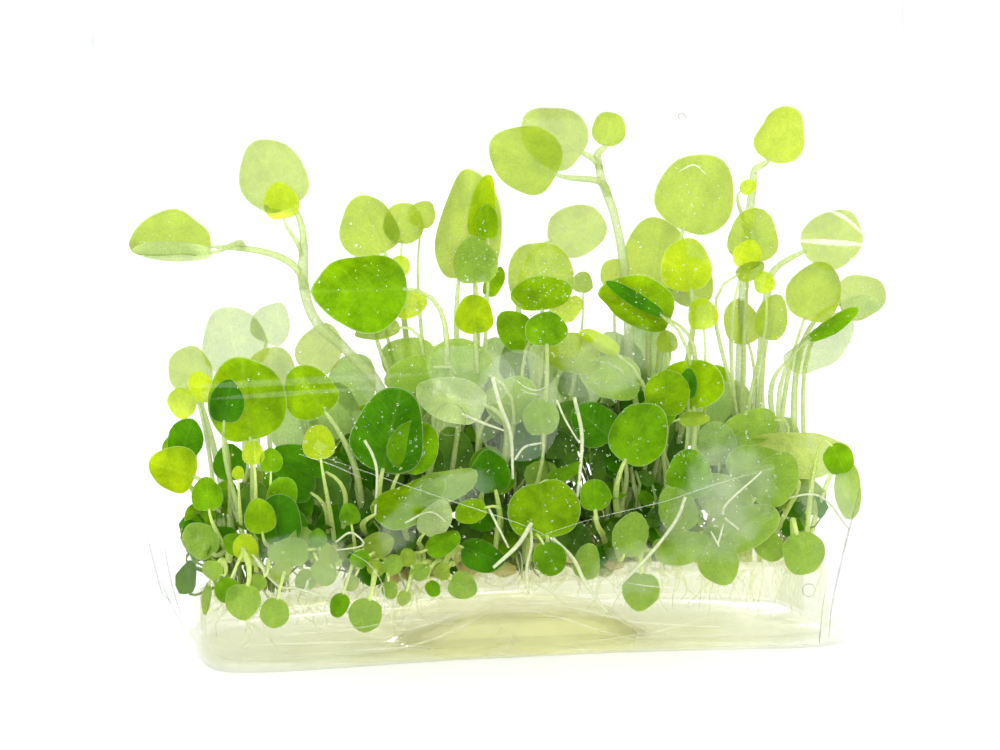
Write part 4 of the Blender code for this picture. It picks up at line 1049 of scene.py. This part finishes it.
def resampled(path, count):
    """So many points spread evenly along a path."""
    lengths = [0.0]
    for start, end in zip(path, path[1:]):
        lengths.append(lengths[-1] + (end - start).length)
    points = []
    at = 0
    for i in range(count):
        target = lengths[-1] * i / (count - 1)
        while at < len(path) - 2 and lengths[at + 1] < target:
            at += 1
        span = max(lengths[at + 1] - lengths[at], 1e-9)
        points.append(path[at].lerp(path[at + 1], min(max((target - lengths[at]) / span, 0), 1)))
    return points


def carried_frames(path, normal=None):
    """(tangent, side, normal) at each point of a path, the last one's normal carried back without a twist."""
    tangents = []
    for i in range(len(path)):
        tangents.append((path[min(i + 1, len(path) - 1)] - path[max(i - 1, 0)]).normalized())
    normal = Vector(normal) if normal is not None else facing_axes()[2]
    if abs(normal.dot(tangents[-1])) > 0.95:
        normal = Vector((0.6, 0.0, 0.8))
    frames = []
    for tangent in reversed(tangents):
        normal = (normal - tangent * normal.dot(tangent)).normalized()
        frames.append((tangent, tangent.cross(normal), normal))
    return frames[::-1]


# The bag's form


def blend(low, high, share):
    return low + (high - low) * share


def eased(share):
    """0 to 1 with a level start and end."""
    share = min(max(share, 0.0), 1.0)
    return share * share * (3 - 2 * share)


def outline(height, inset, sides, share=1.0):
    """(x, y) round the bag at a height, or round a share of its foot."""
    spread = 1 - math.exp(-height / FLARE_HEIGHT)
    half_width = blend(FOOT_HALF_WIDTH, MOUTH_HALF_WIDTH, spread) - inset
    half_depth = blend(FOOT_HALF_DEPTH, MOUTH_HALF_DEPTH, eased(height / BAG_HEIGHT)) - inset
    squareness = blend(FOOT_SQUARENESS, MOUTH_SQUARENESS, eased(height / BAG_HEIGHT))
    bow = blend(FOOT_BOW, 0, eased(2 * height / BAG_HEIGHT))
    return superellipse(half_width, half_depth, squareness, bow, sides, share)


def superellipse(half_width, half_depth, squareness, bow, sides, share):
    """(x, y) at so many points round a bowed superellipse, or round a share of its size."""
    turns = [2 * math.pi * (i + 0.5) / sides for i in range(sides)]
    return [on_superellipse(turn, half_width, half_depth, squareness, bow, share) for turn in turns]


def on_superellipse(turn, half_width, half_depth, squareness, bow, share):
    c, s = math.cos(turn), math.sin(turn)
    along = math.copysign(abs(c) ** (2 / squareness), c)
    over = math.copysign(abs(s) ** (2 / squareness), s)
    bent = bow * ((along * share) ** 2 - BOW_MIDDLE)
    return half_width * along * share, half_depth * over * share - bent


def tuck(x, y):
    """How far the bag's underside stands above the surface at (x, y)."""
    along = 1 - (x / TUCK_HALF_LENGTH) ** 2
    over = 1 - (y / TUCK_HALF_DEPTH) ** 2
    if along <= 0 or over <= 0:
        return 0.0
    return TUCK_RISE * math.sqrt(along) * min(1.0, TUCK_STEEPNESS * over)


def gel_top(x):
    return GEL_TOP + GEL_SLOPE * x


def crumpled(x, y, z, depth):
    """How far the film dips inwards at a point: soft waves all over, sharp folds at its ends and low down."""
    soft = 0.5 + 0.5 * noise.noise(Vector((x / 17, y / 17, z / 26)))
    sharp = 1 - abs(noise.noise(Vector((x / 9 + 4, y / 9, z / 21))))
    ends = eased((abs(x) - 30) / 18)
    low = eased(1 - z / 26) * 0.5
    return depth * (0.3 * soft + (0.85 * ends + low) * sharp**6)


def lofted(name, rings, finish, close_first, close_last):
    """A smooth shell over rings with the same count of points, each end left open or closed by its ring."""
    built = bmesh.new()
    loops = [[built.verts.new(point) for point in ring] for ring in rings]
    for lower, upper in zip(loops, loops[1:]):
        for i in range(len(lower)):
            k = (i + 1) % len(lower)
            built.faces.new((lower[i], lower[k], upper[k], upper[i]))
    if close_first:
        built.faces.new(reversed(loops[0]))
    if close_last:
        built.faces.new(loops[-1])
    mesh = bpy.data.meshes.new(name)
    built.to_mesh(mesh)
    built.free()
    mesh.materials.append(finish_for(finish))
    mesh.shade_smooth()
    made = bpy.data.objects.new(name, mesh)
    bpy.context.scene.collection.objects.link(made)
    return made


def film_rings():
    """The film's rings from the middle of its underside out and up to its mouth, in metres."""
    depth = bpy.context.scene.culture_bag.crumple
    rings = []
    for i in range(1, FOOT_LEVELS + 1):
        share = i / FOOT_LEVELS
        ring = outline(0, FILM_INSIDE, FILM_SIDES, share)
        lift = FILM_INSIDE * (1 - eased((share - 0.9) / 0.1) * 0.5)
        rings.append([Vector((x, y, tuck(x, y) + lift)) * MM for x, y in ring])
    for i in range(1, FILM_LEVELS + 1):
        height = BAG_HEIGHT * (i / FILM_LEVELS) ** LEVEL_SPREAD
        ring = outline(height, FILM_INSIDE, FILM_SIDES)
        middle = outline(height, FILM_INSIDE + 1, FILM_SIDES)
        fade = eased(height / 3) * (1 - 0.5 * eased((height - 90) / 14))
        row = []
        for (x, y), (inner_x, inner_y) in zip(ring, middle):
            inwards = Vector((inner_x - x, inner_y - y, 0)).normalized()
            row.append((Vector((x, y, height)) + inwards * crumpled(x, y, height, depth) * fade) * MM)
        rings.append(row)
    return rings


def film_surface():
    """The film of the finished piece, for finding where a line of sight meets it."""
    return BVHTree.FromObject(bpy.data.objects["bag_film"], bpy.context.evaluated_depsgraph_get())


def on_film(surface, across, up, inwards):
    """(point, outward normal) where the line of sight first meets the film, moved so many mm inwards."""
    eye = eye_point() * MM
    hit, normal, _, _ = surface.ray_cast(eye, (sight(across, up) * MM - eye).normalized())
    if hit is None:
        hit, normal, _, _ = surface.find_nearest(sight(across, up) * MM)
    if normal.dot(eye - hit) < 0:
        normal = -normal
    return hit - normal * inwards * MM, normal


def keep(piece, slot, *nodes):
    """Makes a finished piece ride on the plant's one body and stand for its solids, which it hides; its slot
    is not used.
    """
    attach(piece, "root")
    if nodes:
        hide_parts(*nodes)


# Operators


class FLOWER_OT_stage(bpy.types.Operator):
    """Camera, white floor, and soft light from behind and all round"""

    bl_idname = "flower.stage"
    bl_label = "Stage"

    def execute(self, context):
        settings = context.scene.bag_stage
        camera = bpy.data.objects.new("Camera", bpy.data.cameras.new("Camera"))
        camera.data.lens, camera.data.sensor_width = LENS, SENSOR
        camera.data.clip_start, camera.data.clip_end = 0.01, 10
        line = viewing_line()
        camera.location = (Vector((TARGET_X, TARGET_Y, VIEW_HEIGHT)) + line * VIEW_DISTANCE) * MM
        camera.rotation_euler = (-line).to_track_quat("-Z", "Y").to_euler()
        context.scene.collection.objects.link(camera)
        context.scene.camera = camera

        bpy.ops.object.select_all(action="DESELECT")
        bpy.ops.mesh.primitive_plane_add(size=8, location=(0, 0, 0))
        floor = context.object
        floor.name = "floor"
        floor.data.materials.append(finish_for("matt white sheet"))

        for name, energy, spread, aim in (
            ("Back light", settings.back_light, 14, (-0.12, -0.86, -0.5)),
            ("Front fill", settings.front_light, 70, (0.25, 0.9, -0.35)),
        ):
            light = bpy.data.lights.new(name, "SUN")
            light.energy, light.angle = energy, math.radians(spread)
            lamp = bpy.data.objects.new(name, light)
            lamp.rotation_euler = Vector(aim).to_track_quat("-Z", "Y").to_euler()
            lamp.visible_glossy = False
            context.scene.collection.objects.link(lamp)

        world = bpy.data.worlds.new("Light tent")
        world.use_nodes = True
        tree = world.node_tree
        tent = tree.nodes["Background"]
        tent.inputs["Color"].default_value = (1, 1, 1, 1)
        # The tent is bright behind the bag and dim in front of it, and the picture's own background is white
        direction = add(tree, "SeparateXYZ", links={0: add(tree, "TexCoord").outputs["Generated"]})
        depth = ranged(tree, direction.outputs[1], -0.5, 0.5, settings.front, settings.surround,
                       interpolation_type="SMOOTHSTEP")
        seen = add(tree, "LightPath")
        strength = add(tree, "Mix", {"data_type": "FLOAT", 3: settings.backdrop},
                       {0: seen.outputs["Is Camera Ray"], 2: depth})
        tree.links.new(strength.outputs[0], tent.inputs["Strength"])
        context.scene.world = world
        context.scene.view_settings.view_transform = "Standard"
        context.scene.cycles.transparent_max_bounces = 20
        context.scene.cycles.max_bounces = 8
        context.scene.cycles.diffuse_bounces = 3
        return {"FINISHED"}


class FLOWER_OT_film(bpy.types.Operator):
    """The bag: one shell of thin clear film, crumpled at its ends and tucked under its foot"""

    bl_idname = "flower.film"
    bl_label = "Film"

    def execute(self, context):
        film = lofted("bag_film", film_rings(), "clear film", True, False)
        keep(film, "film", "bag")
        return {"FINISHED"}


class FLOWER_OT_creases(bpy.types.Operator):
    """Whitened folds, strips of painted glare, grey lines and patches of painted shade, fogged patches and
    dried bubbles on the film
    """

    bl_idname = "flower.creases"
    bl_label = "Creases"

    def execute(self, context):
        surface = film_surface()
        keep(self.folds(surface).build("film_folds"), "film")
        keep(self.fog(surface).build("film_fog"), "film")
        keep(self.bubbles(surface).build("film_bubbles"), "film")
        return {"FINISHED"}

    @staticmethod
    def folds(surface):
        gathered, stem = Gathered(), stem_blank(4, 28)
        for width, points, finish in CREASES:
            spots = smooth_path([(across, up, 0) for across, up in points], 8)
            path = [on_film(surface, spot.x, spot.y, FOLD_INSIDE)[0] for spot in spots]
            radii = [width * share * MM for share in (0.2, 0.5, 0.5, 0.2)]
            gathered.add(stem, shaped_stem(stem, path, radii), finish)
        return gathered

    @staticmethod
    def fog(surface):
        gathered, disc = Gathered(), disc_blank(30, 5)
        for number, ((across, up), width, height, turn, finish) in enumerate(FOGGED):
            rng = random.Random(number)
            turns = [rng.uniform(0, 2 * math.pi) for _ in range(2)]
            turned = Matrix.Rotation(math.radians(turn), 2)
            inside = FOG_INSIDE + FOG_STEP * number
            points = []
            for x, y, _ in disc.points:
                angle = math.atan2(y, x)
                reach = 1 + 0.08 * math.sin(2 * angle + turns[0]) + 0.05 * math.sin(3 * angle + turns[1])
                spot = turned @ Vector((x * reach * width, y * reach * height)) / 2
                points.append(on_film(surface, across + spot.x, up + spot.y, inside)[0])
            gathered.add(disc, np.array(points), finish, (disc.points[:, :2] + 1) / 2)
        return gathered

    @staticmethod
    def bubbles(surface):
        """The thin rim that each bubble left."""
        gathered, ring = Gathered(), stem_blank(5, 28)
        for (across, up), radius in BUBBLES:
            middle, normal = on_film(surface, across, up, BUBBLE_INSIDE)
            side = normal.cross(Vector((0, 0, 1))).normalized()
            rise = side.cross(normal)
            turns = [2 * math.pi * i / 40 for i in range(41)]
            loop = [middle + (side * math.cos(turn) + rise * math.sin(turn)) * radius * MM for turn in turns]
            gathered.add(ring, shaped_stem(ring, loop, [BUBBLE_RIM * MM] * 2, normal), "dried bubble")
        return gathered


class FLOWER_OT_gel(bpy.types.Operator):
    """The gel bed, with its skin, the clouded sheet inside its back, and the yellow sheet of painted light
    under it
    """

    bl_idname = "flower.gel"
    bl_label = "Gel"

    def execute(self, context):
        keep(lofted("gel_bed", self.body(), "poured gel", True, True), "gel", "gel")
        # A yellow sheet under the gel, whose tint is painted light on the surface under the bag
        light_sheet = [self.foot_ring(LIGHT_SHEET_INSET, LIGHT_SHEET_LIFT, i / 12) for i in range(1, 13)]
        keep(lofted("gel_liquid", light_sheet, "wept liquid", True, False), "gel")
        skin = [
            self.ring(GEL_EDGE + pulled, lambda x, y: self.wavy_top(x, y) - SKIN_DEPTH)
            for pulled in (15.0, 10, 5, 2, 0)
        ]
        keep(lofted("gel_skin", skin, "gel skin", True, False), "gel")
        keep(self.cloud().build("gel_cloud"), "gel")
        return {"FINISHED"}

    def body(self):
        """Rings from the middle of the gel's underside, out over the tuck, up its sides and over its edge."""
        rings = [self.ring(GEL_EDGE + pulled, self.wavy_top) for pulled in (15.0, 12, 8, 5, 2.5, 1, 0)]
        for i in range(1, 5):
            turn = math.pi / 2 * i / 4
            lowered = GEL_EDGE * (1 - math.cos(turn))
            rings.append(self.ring(GEL_EDGE * (1 - math.sin(turn)), lambda x, y: gel_top(x) - lowered))
        for share in (0.8, 0.6, 0.4, 0.2):
            rings.append(self.ring(0, lambda x, y: blend(GEL_LIFT + 1, gel_top(x) - GEL_EDGE, share)))
        rings.append(self.ring(0, lambda x, y: GEL_LIFT + 0.7))
        rings.append(self.ring(0.7, lambda x, y: GEL_LIFT))
        rings += [self.foot_ring(GEL_FOOT_INSET, GEL_LIFT, GEL_FOOT_SHARE * i / 12) for i in range(12, 0, -1)]
        return rings[::-1]

    @staticmethod
    def cloud():
        """A sheet just inside the gel's back."""
        gathered, sheet = Gathered(), sheet_blank(60, 4)
        half_width = FOOT_HALF_WIDTH - GEL_INSET_SIDES - CLOUD_INSIDE
        half_depth = FOOT_HALF_DEPTH - GEL_INSET_FRONT - CLOUD_INSIDE
        points = []
        for u, v, _ in sheet.points:
            turn = math.pi * (0.5 - 0.5 * u)
            x, y = on_superellipse(turn, half_width, half_depth, FOOT_SQUARENESS, FOOT_BOW, 1.0)
            z = blend(GEL_LIFT + CLOUD_MARGIN, gel_top(x) - CLOUD_MARGIN, (v + 1) / 2)
            points.append(Vector((x, y, z)) * MM)
        gathered.add(sheet, np.array(points), "clouded gel")
        return gathered

    @staticmethod
    def wavy_top(x, y):
        return gel_top(x) + 0.25 * noise.noise(Vector((x / 7, y / 7, 0)))

    @staticmethod
    def foot_ring(inset, lift, share):
        """A ring round a share of the bag's foot, over the film's tuck."""
        return [Vector((x, y, tuck(x, y) + lift)) * MM for x, y in outline(0, inset, GEL_SIDES, share)]

    @staticmethod
    def ring(pulled_in, height_at):
        """A ring round the gel's sides, or so far in from them."""
        half_width = FOOT_HALF_WIDTH - GEL_INSET_SIDES - pulled_in
        half_depth = FOOT_HALF_DEPTH - GEL_INSET_FRONT - pulled_in
        ring = superellipse(half_width, half_depth, FOOT_SQUARENESS, FOOT_BOW, GEL_SIDES, 1.0)
        return [Vector((x, y, height_at(x, y))) * MM for x, y in ring]


class FLOWER_OT_gel_roots(bpy.types.Operator):
    """Fine roots that hang down through the gel, and the callus along its top"""

    bl_idname = "flower.gel_roots"
    bl_label = "Roots in the Gel"

    def execute(self, context):
        rng = random.Random(context.scene.plant_growth.seed)
        roots, stem = Gathered(), stem_blank(5, 14)
        for _ in range(context.scene.gel_bed.roots):
            path = smooth_path(self.root(rng), 5)
            radius = rng.uniform(0.14, 0.32) * MM
            roots.add(stem, shaped_stem(stem, path, [radius, radius * 0.8, radius * 0.3]), "root in gel")
        lumps, drop = Gathered(), drop_blank(12, 8)
        for _ in range(CALLUS_LUMPS):
            lumps.add(drop, self.lump(drop, rng), "callus")
        keep(roots.build("gel_roots"), "growth")
        keep(lumps.build("callus"), "growth")
        return {"FINISHED"}

    @staticmethod
    def root(rng):
        """Points down one root, which sways and drifts aside on its way."""
        x, y = rng.uniform(-42, 42), rng.uniform(-13, 12)
        bow = FOOT_BOW * ((x / FOOT_HALF_WIDTH) ** 2 - BOW_MIDDLE)
        bottom = tuck(x, y) + GEL_LIFT + 0.5
        points = [Vector((x, y - bow, gel_top(x) + rng.uniform(-1.6, 0.0)))]
        drift = Vector((rng.uniform(-1, 1), rng.uniform(-0.5, 0.5), 0))
        steps = rng.randint(3, 5)
        lowest = rng.uniform(bottom, gel_top(x) - 2)
        for i in range(1, steps + 1):
            sway = Vector((rng.uniform(-1.1, 1.1), rng.uniform(-0.8, 0.8), 0))
            spot = Vector((points[-1].x, points[-1].y, blend(gel_top(x), lowest, i / steps))) + sway + drift
            spot.x = min(max(spot.x, -ROOT_REACH), ROOT_REACH)
            points.append(spot)
        return [point * MM for point in points]

    @staticmethod
    def lump(drop, rng):
        """The points of one knobbly lump on the gel's top."""
        x, y = rng.gauss(0, 19), rng.gauss(0, 4)
        x = min(max(x, -38), 40)
        size = Vector((rng.uniform(1.0, 2.4), rng.uniform(1.0, 2.2), rng.uniform(0.6, 1.5)))
        middle = Vector((x, y, gel_top(x) + size.z * 0.3))
        points = []
        for point in drop.points:
            swell = 1 + 0.28 * noise.noise(Vector(point) * 1.7 + middle)
            points.append([(middle[k] + point[k] * size[k] * swell) * MM for k in range(3)])
        return np.array(points)


class FLOWER_OT_leaves(bpy.types.Operator):
    """The leaves that have a solid of their own, each a blade with its stalk"""

    bl_idname = "flower.leaves"
    bl_label = "Leaves"

    def execute(self, context):
        disc, stem = disc_blank(32, 5), stem_blank(8, 20)
        for leaf in LEAVES:
            gathered = Gathered()
            axes = blade_axes(leaf.heading, leaf.pitch, leaf.roll)
            length, width = leaf.length * MM, leaf.width * MM
            root, base = self.joined(rooted(leaf)), place(leaf.centre) - axes[0] * length / 2
            reach = (base - root).length
            rng = random.Random(leaf.name)
            points, uvs = shaped_blade(disc, base, axes, length, width, leaf.cup, rng,
                                       context.scene.plant_leaves.ripple, leaf.tip, leaf.notch)
            gathered.add(disc, points, "leaf blade, " + leaf.tone, uvs)
            into = base + axes[0] * length * (STALK_REACH + leaf.notch / 2) - axes[2] * 0.1 * MM
            lifted = root + Vector((0, 0, 1)) * reach * 0.4
            path = bezier(root, lifted, base - axes[0] * reach * 0.3, into, 16)
            radius = STALK_RADIUS * MM
            radii = [radius, radius, radius * 0.9, radius * 0.8, radius * 0.4]
            gathered.add(stem, shaped_stem(stem, path, radii, axes[2], 1.2), stalk_finish(leaf))
            keep(gathered.build(leaf.name + "_blade"), TONES[leaf.tone].slot, leaf.name)
        return {"FINISHED"}

    @staticmethod
    def joined(root):
        """A stalk's root moved into the middle of the shoot beside it, where there is one."""
        paths = [smooth_path([place(point) for point in shoot.points], 12) for shoot in SHOOTS]
        spots = [spot for path in paths for spot in path]
        nearest = min(spots, key=lambda spot: (spot - root).length)
        return nearest if (nearest - root).length < 2.5 * MM else root


class FLOWER_OT_small_leaves(bpy.types.Operator):
    """The smaller leaves that can be told apart, gathered by where they stand"""

    bl_idname = "flower.small_leaves"
    bl_label = "Small Leaves"

    def execute(self, context):
        disc, stem = disc_blank(20, 3), stem_blank(6, 12)
        groups = {}
        for number, leaf in enumerate(SMALL_LEAVES):
            side = "left" if leaf.centre[0] < -16 else "middle" if leaf.centre[0] < 11 else "right"
            gathered = groups.setdefault(side, Gathered())
            rng = random.Random(number)
            axes = blade_axes(leaf.heading, rng.uniform(-8, 8), leaf.roll)
            length = leaf.length * MM
            root, base = rooted(leaf), place(leaf.centre) - axes[0] * length / 2
            reach = (base - root).length
            points, uvs = shaped_blade(disc, base, axes, length, leaf.width * MM, rng.uniform(0.15, 0.4), rng,
                                       context.scene.plant_leaves.ripple)
            gathered.add(disc, points, "leaf blade, " + leaf.tone, uvs)
            into = base + axes[0] * length * STALK_REACH - axes[2] * 0.08 * MM
            sway = Vector((rng.uniform(-0.12, 0.12), rng.uniform(-0.1, 0.1), 1)) * reach
            path = bezier(root, root + sway * 0.4, base - axes[0] * reach * 0.3, into, 12)
            radius = blend(0.26, 0.44, min(leaf.length / 8, 1)) * MM
            radii = [radius, radius, radius * 0.85, radius * 0.4]
            gathered.add(stem, shaped_stem(stem, path, radii, axes[2], 1.2), stalk_finish(leaf))
        for side, gathered in groups.items():
            keep(gathered.build("small_leaves_" + side), "leaf_vivid")
        return {"FINISHED"}


class FLOWER_OT_shoots(bpy.types.Operator):
    """The tall pale shoots"""

    bl_idname = "flower.shoots"
    bl_label = "Shoots"

    def execute(self, context):
        stem = stem_blank(12, 48)
        for shoot in SHOOTS:
            gathered = Gathered()
            path = smooth_path([place(point) for point in shoot.points], 10)
            rng = random.Random(shoot.name)
            radii = []
            for i in range(24):
                swell = 1 + 0.07 * math.sin(i * 1.3 + rng.uniform(0, 0.6))
                radii.append(blend(shoot.foot_radius, shoot.tip_radius, i / 23) * swell * MM)
            gathered.add(stem, shaped_stem(stem, path, radii), "young stem")
            keep(gathered.build(shoot.name + "_stem"), "stalk", shoot.name)
        return {"FINISHED"}


class FLOWER_OT_crowns(bpy.types.Operator):
    """The crowns: crowded small leaves, their stalks, and fine white roots round their feet"""

    bl_idname = "flower.crowns"
    bl_label = "Crowns"

    def execute(self, context):
        disc, stem = disc_blank(11, 1), stem_blank(4, 6)
        settings = context.scene.plant_growth
        for number in range(len(CROWN_TOPS)):
            rng = random.Random(settings.seed + number)
            gathered = Gathered()
            for _ in range(int(settings.leaves * (OPEN_SHARE if number in OPEN_CROWNS else 1.0))):
                self.add_leaf(gathered, disc, stem, number, rng)
            for _ in range(CROWN_ROOTS):
                gathered.add(stem, self.root(stem, self.middle(number), rng), "white root")
            name = f"crown_{number + 1}"
            keep(gathered.build(name + "_growth"), "growth", name)
        return {"FINISHED"}

    @staticmethod
    def middle(number):
        return CROWN_SPACING * (number - len(CROWN_TOPS) // 2)

    def add_leaf(self, gathered, disc, stem, number, rng):
        """A leaf in the crown's outer shell, facing outwards, with a stalk from near the crown's middle."""
        settings = bpy.context.scene.plant_growth
        middle, top = self.middle(number), CROWN_TOPS[number]
        rise, aside = rng.uniform(0.0, 1.0) ** 0.9, rng.uniform(-1, 1)
        shoulder = (1 - rise**3) ** (1 / 3)
        depth = math.copysign(rng.uniform(0.0, 1.0) ** 0.6, rng.uniform(-1, 1)) * (1 - aside**4) ** 0.25
        turn, reach = math.atan2(depth, aside), math.hypot(depth, aside)
        x = middle + aside * shoulder * (CROWN_HALF_WIDTH + 0.9)
        y = depth * shoulder * CROWN_HALF_DEPTH
        z = gel_top(middle) + 1.5 + rise * (top - gel_top(middle) - 3.5)
        foot = Vector((middle + (x - middle) * 0.45, y * 0.4, gel_top(middle) - 0.4)) * MM
        outwards = Vector((math.cos(turn), math.sin(turn), rng.uniform(0.1, 1.3))).normalized()
        along = Vector((rng.uniform(-1, 1), rng.uniform(-1, 1), rng.uniform(-0.2, 1.4))).normalized()
        side = along.cross(outwards).normalized()
        size = rng.uniform(settings.smallest, settings.largest) * (1 - 0.25 * (reach < 0.5))
        length, width = size * MM, size * rng.uniform(0.75, 0.98) * MM
        base = Vector((x, y, z)) * MM - along * length / 2
        axes = along, side, side.cross(along)
        points, uvs = shaped_blade(disc, base, axes, length, width, rng.uniform(0.1, 0.5), rng, 0.1)
        tone = rng.choices(("shaded", "deep", "leafy", "hazy"), self.mix(number, rise))[0]
        gathered.add(disc, points, "leaf blade, " + tone, uvs)
        lift = (base - foot).length
        path = bezier(foot, foot + Vector((0, 0, 0.4 * lift)), base - along * lift * 0.25, base, 6)
        radius = rng.uniform(0.13, 0.26) * MM
        gathered.add(stem, shaped_stem(stem, path, [radius, radius * 0.8]), "inner stalk")

    @staticmethod
    def root(stem, middle, rng):
        """A root that arches from the crown's foot down to the gel."""
        turn = rng.uniform(0, 2 * math.pi)
        out = rng.uniform(0.5, 1.15)
        c, s, level = math.cos(turn), math.sin(turn), gel_top(middle)
        start = Vector((middle + c * 3.4, s * 3.4, level + rng.uniform(1, 7)))
        end = Vector((middle + c * out * 9, s * out * 9.6, level - 0.6))
        bend = Vector((rng.uniform(-1.5, 1.5), rng.uniform(-1.5, 1.5), rng.uniform(0, 2.4)))
        path = smooth_path([start * MM, (start.lerp(end, 0.5) + bend) * MM, end * MM], 5)
        return shaped_stem(stem, path, [rng.uniform(0.12, 0.26) * MM, 0.12 * MM])

    @staticmethod
    def mix(number, rise):
        """How likely each tone is: mostly the dark shaded tone, which is painted shade, lighter in the outer
        crowns and low down.
        """
        if number in OPEN_CROWNS:
            return (0.1, 0.25, 0.45, 0.45)
        if rise < 0.25:
            return (0.4, 0.3, 0.25, 0.3)
        return (0.75, 0.3, 0.12, 0.06)


class FLOWER_OT_air_roots(bpy.types.Operator):
    """White roots that hang in the air of the bag"""

    bl_idname = "flower.air_roots"
    bl_label = "Air Roots"

    def execute(self, context):
        stem = stem_blank(6, 24)
        gathered = Gathered()
        for radius, points in AIR_ROOTS:
            path = smooth_path([place(point) for point in points], 8)
            radii = [radius * share * MM for share in (1, 1, 0.7)]
            gathered.add(stem, shaped_stem(stem, path, radii), "white root")
        keep(gathered.build("air_roots"), "growth")
        return {"FINISHED"}


class FLOWER_OT_drops(bpy.types.Operator):
    """Small drops of water on the inside of the film"""

    bl_idname = "flower.drops"
    bl_label = "Drops"

    def execute(self, context):
        rng = random.Random(context.scene.plant_growth.seed + 40)
        surface = film_surface()
        gathered, drop = Gathered(), drop_blank(7, 5)
        flat = Vector((1, 1, 0.6))
        for _ in range(context.scene.culture_bag.drops):
            across, up = rng.gauss(4, 24), rng.gauss(30, 15)
            if abs(across) > 44 or not 3 < up < 66:
                continue
            size = rng.uniform(0.07, 0.2) * MM
            middle, normal = on_film(surface, across, up, DROP_INSIDE)
            facing = normal.to_track_quat("Z", "Y").to_matrix()
            turned = Matrix.Rotation(rng.uniform(0, 3), 3, normal) @ facing
            points = [middle + turned @ (Vector(point) * flat * size) for point in drop.points]
            gathered.add(drop, np.array(points), "water")
        keep(gathered.build("water_drops"), "film")

        gathered, speck = Gathered(), drop_blank(5, 4)
        for (across, up), spread, count in MISTED:
            for _ in range(count):
                middle = on_film(surface, rng.gauss(across, spread), rng.gauss(up, spread), DROP_INSIDE)[0]
                size = rng.uniform(0.03, 0.085) * MM
                gathered.add(speck, speck.points * size + np.array(middle), "fine mist")
        keep(gathered.build("fine_drops"), "film")
        return {"FINISHED"}


OPERATORS = (
    FLOWER_OT_stage, FLOWER_OT_film, FLOWER_OT_creases, FLOWER_OT_gel, FLOWER_OT_gel_roots, FLOWER_OT_leaves,
    FLOWER_OT_small_leaves, FLOWER_OT_shoots, FLOWER_OT_crowns, FLOWER_OT_air_roots, FLOWER_OT_drops,
)


class FLOWER_PT_panel(bpy.types.Panel):
    """Lists the pieces and their settings"""

    bl_idname = "FLOWER_PT_panel"
    bl_label = "Culture Bag"
    bl_space_type = "VIEW_3D"
    bl_region_type = "UI"
    bl_category = "Culture Bag"

    def draw(self, context):
        for operator in OPERATORS:
            self.layout.operator(operator.bl_idname)
        for name in GROUPS:
            settings = getattr(context.scene, name)
            box = self.layout.box()
            for key in settings.bl_rna.properties.keys():
                if key not in ("name", "rna_type"):
                    box.prop(settings, key)


GROUPS = {
    "culture_bag": BagSettings,
    "gel_bed": GelSettings,
    "plant_leaves": LeafSettings,
    "plant_growth": GrowthSettings,
    "bag_stage": StageSettings,
}
CLASSES = (*GROUPS.values(), *OPERATORS, FLOWER_PT_panel)


def register():
    for one in CLASSES:
        bpy.utils.register_class(one)
    for name, group in GROUPS.items():
        setattr(bpy.types.Scene, name, PointerProperty(type=group))


def unregister():
    for name in GROUPS:
        delattr(bpy.types.Scene, name)
    for one in reversed(CLASSES):
        bpy.utils.unregister_class(one)


def main():
    register()
    for operator in OPERATORS:
        group, name = operator.bl_idname.split(".")
        getattr(getattr(bpy.ops, group), name)()


if __name__ == "__main__":
    main()
